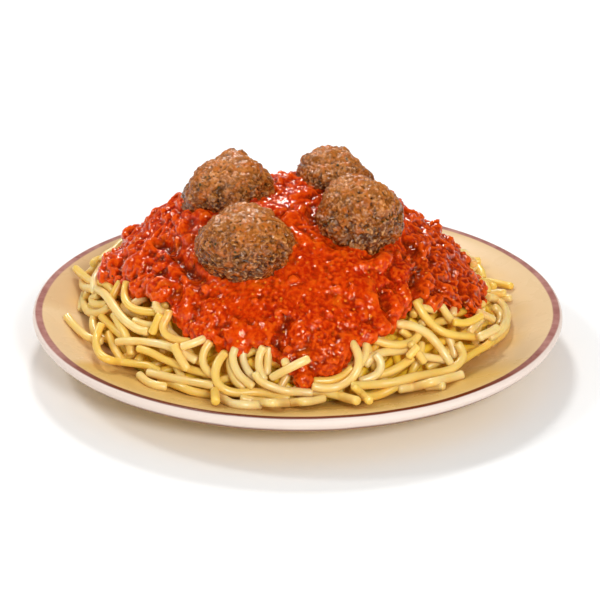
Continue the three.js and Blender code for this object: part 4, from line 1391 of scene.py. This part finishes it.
dress(make_plate(), plate_look(), "plate_glaze", "plate")
dress(make_noodles(), noodle_look(), "pasta", "spaghetti")
dress(make_core(), core_look(), "pasta", "spaghetti")
dress(make_sauce(), sauce_look(), "tomato_sauce", "sauce")
browned = meat_look()
for meatball_seed, node_name in enumerate(MEATBALLS, FIRST_MEATBALL_SEED):
    dress(make_meatball(node_name, meatball_seed), browned, "meat", node_name)


# Room, light and camera

FLOOR_HALF = 6000
FLOOR_DEPTH = 0.2
LIGHT_DISTANCE = 1.2
LIGHT_TARGET = Vector((0, 0, 0.03))
# Lights: azimuth from the front to the right, elevation, size in metres and watts
LIGHTS = {"back": (188, 47, 0.22, 5.8), "left": (250, 44, 0.22, 3.2), "front": (18, 29, 0.3, 6.9)}
# The sky's brightness low and high, the heights between which it changes, and its share in mirrors
SKY_LOW, SKY_HIGH = 1.0, 0.42
SKY_HEIGHTS = (0.05, 0.45)
MIRRORED_SKY = 0.1
SENSOR = 36


def make_floor():
    corners = np.array([(-1, -1, 0), (1, -1, 0), (1, 1, 0), (-1, 1, 0)]) * FLOOR_HALF
    floor = add_mesh("floor", corners - (0, 0, FLOOR_DEPTH), np.array([(0, 1, 2, 3)]))
    look = Look("floor", Roughness=0.9, Specular_IOR_Level=0.1)
    look.paint = srgb(254, 254, 253)
    floor.data.materials.append(look.finished())


def add_light(name, azimuth, elevation, size, watts):
    """A round soft light at a distance."""
    flat = math.cos(elevation * DEGREE)
    way = Vector((math.sin(azimuth * DEGREE) * flat, -math.cos(azimuth * DEGREE) * flat,
                  math.sin(elevation * DEGREE)))
    lamp = bpy.data.lights.new(name, "AREA")
    lamp.shape = "DISK"
    lamp.size = size
    lamp.energy = watts
    light = bpy.data.objects.new(name, lamp)
    light.location = way * LIGHT_DISTANCE + LIGHT_TARGET
    light.rotation_euler = (-way).to_track_quat("-Z", "Y").to_euler()
    bpy.context.scene.collection.objects.link(light)


def make_world():
    """A sky that is dimmed where it is mirrored and plain white behind the object."""
    world = bpy.data.worlds.new("studio")
    world.use_nodes = True
    sky = Nodes(world.node_tree)
    way = sky.node("ShaderNodeTexCoord").outputs["Generated"]
    height = sky.node("ShaderNodeSeparateXYZ", {0: way}).outputs["Z"]
    rays = sky.node("ShaderNodeLightPath").outputs
    dimmed = sky.between(rays["Is Glossy Ray"], 0, 1, 1, MIRRORED_SKY)
    strength = sky.product(sky.between(height, *SKY_HEIGHTS, SKY_LOW, SKY_HIGH), dimmed)
    background = world.node_tree.nodes["Background"].inputs
    sky.put(background["Strength"], sky.most(strength, rays["Is Camera Ray"]))
    sky.put(background["Color"], (1, 1, 1, 1))
    bpy.context.scene.world = world


def make_camera():
    """The camera that the photo was taken with, as fitted to the plate."""
    data = bpy.data.cameras.new("camera")
    data.sensor_width = SENSOR
    data.lens = FOCAL_PIXELS / IMAGE_SIZE * SENSOR
    camera = bpy.data.objects.new("camera", data)
    backward = Vector((0, -math.cos(CAMERA_ELEVATION), math.sin(CAMERA_ELEVATION)))
    level = backward.to_track_quat("Z", "Y").to_matrix()
    turned = level @ Matrix.Rotation(CAMERA_ROLL, 3, "Z")
    metres_per_pixel = CAMERA_DISTANCE / FOCAL_PIXELS / METRE
    across = (IMAGE_SIZE / 2 - PLATE_PIXEL[0]) * metres_per_pixel
    upward = (PLATE_PIXEL[1] - IMAGE_SIZE / 2) * metres_per_pixel
    position = Vector((0, 0, LIP_HEIGHT / METRE)) + backward * CAMERA_DISTANCE / METRE
    position += turned @ Vector((across, upward, 0))
    camera.matrix_world = Matrix.Translation(position) @ turned.to_4x4()
    bpy.context.scene.collection.objects.link(camera)
    bpy.context.scene.camera = camera


make_floor()
for light_name, setting in LIGHTS.items():
    add_light(light_name, *setting)
make_world()
make_camera()
bpy.context.scene.view_settings.view_transform = "Standard"
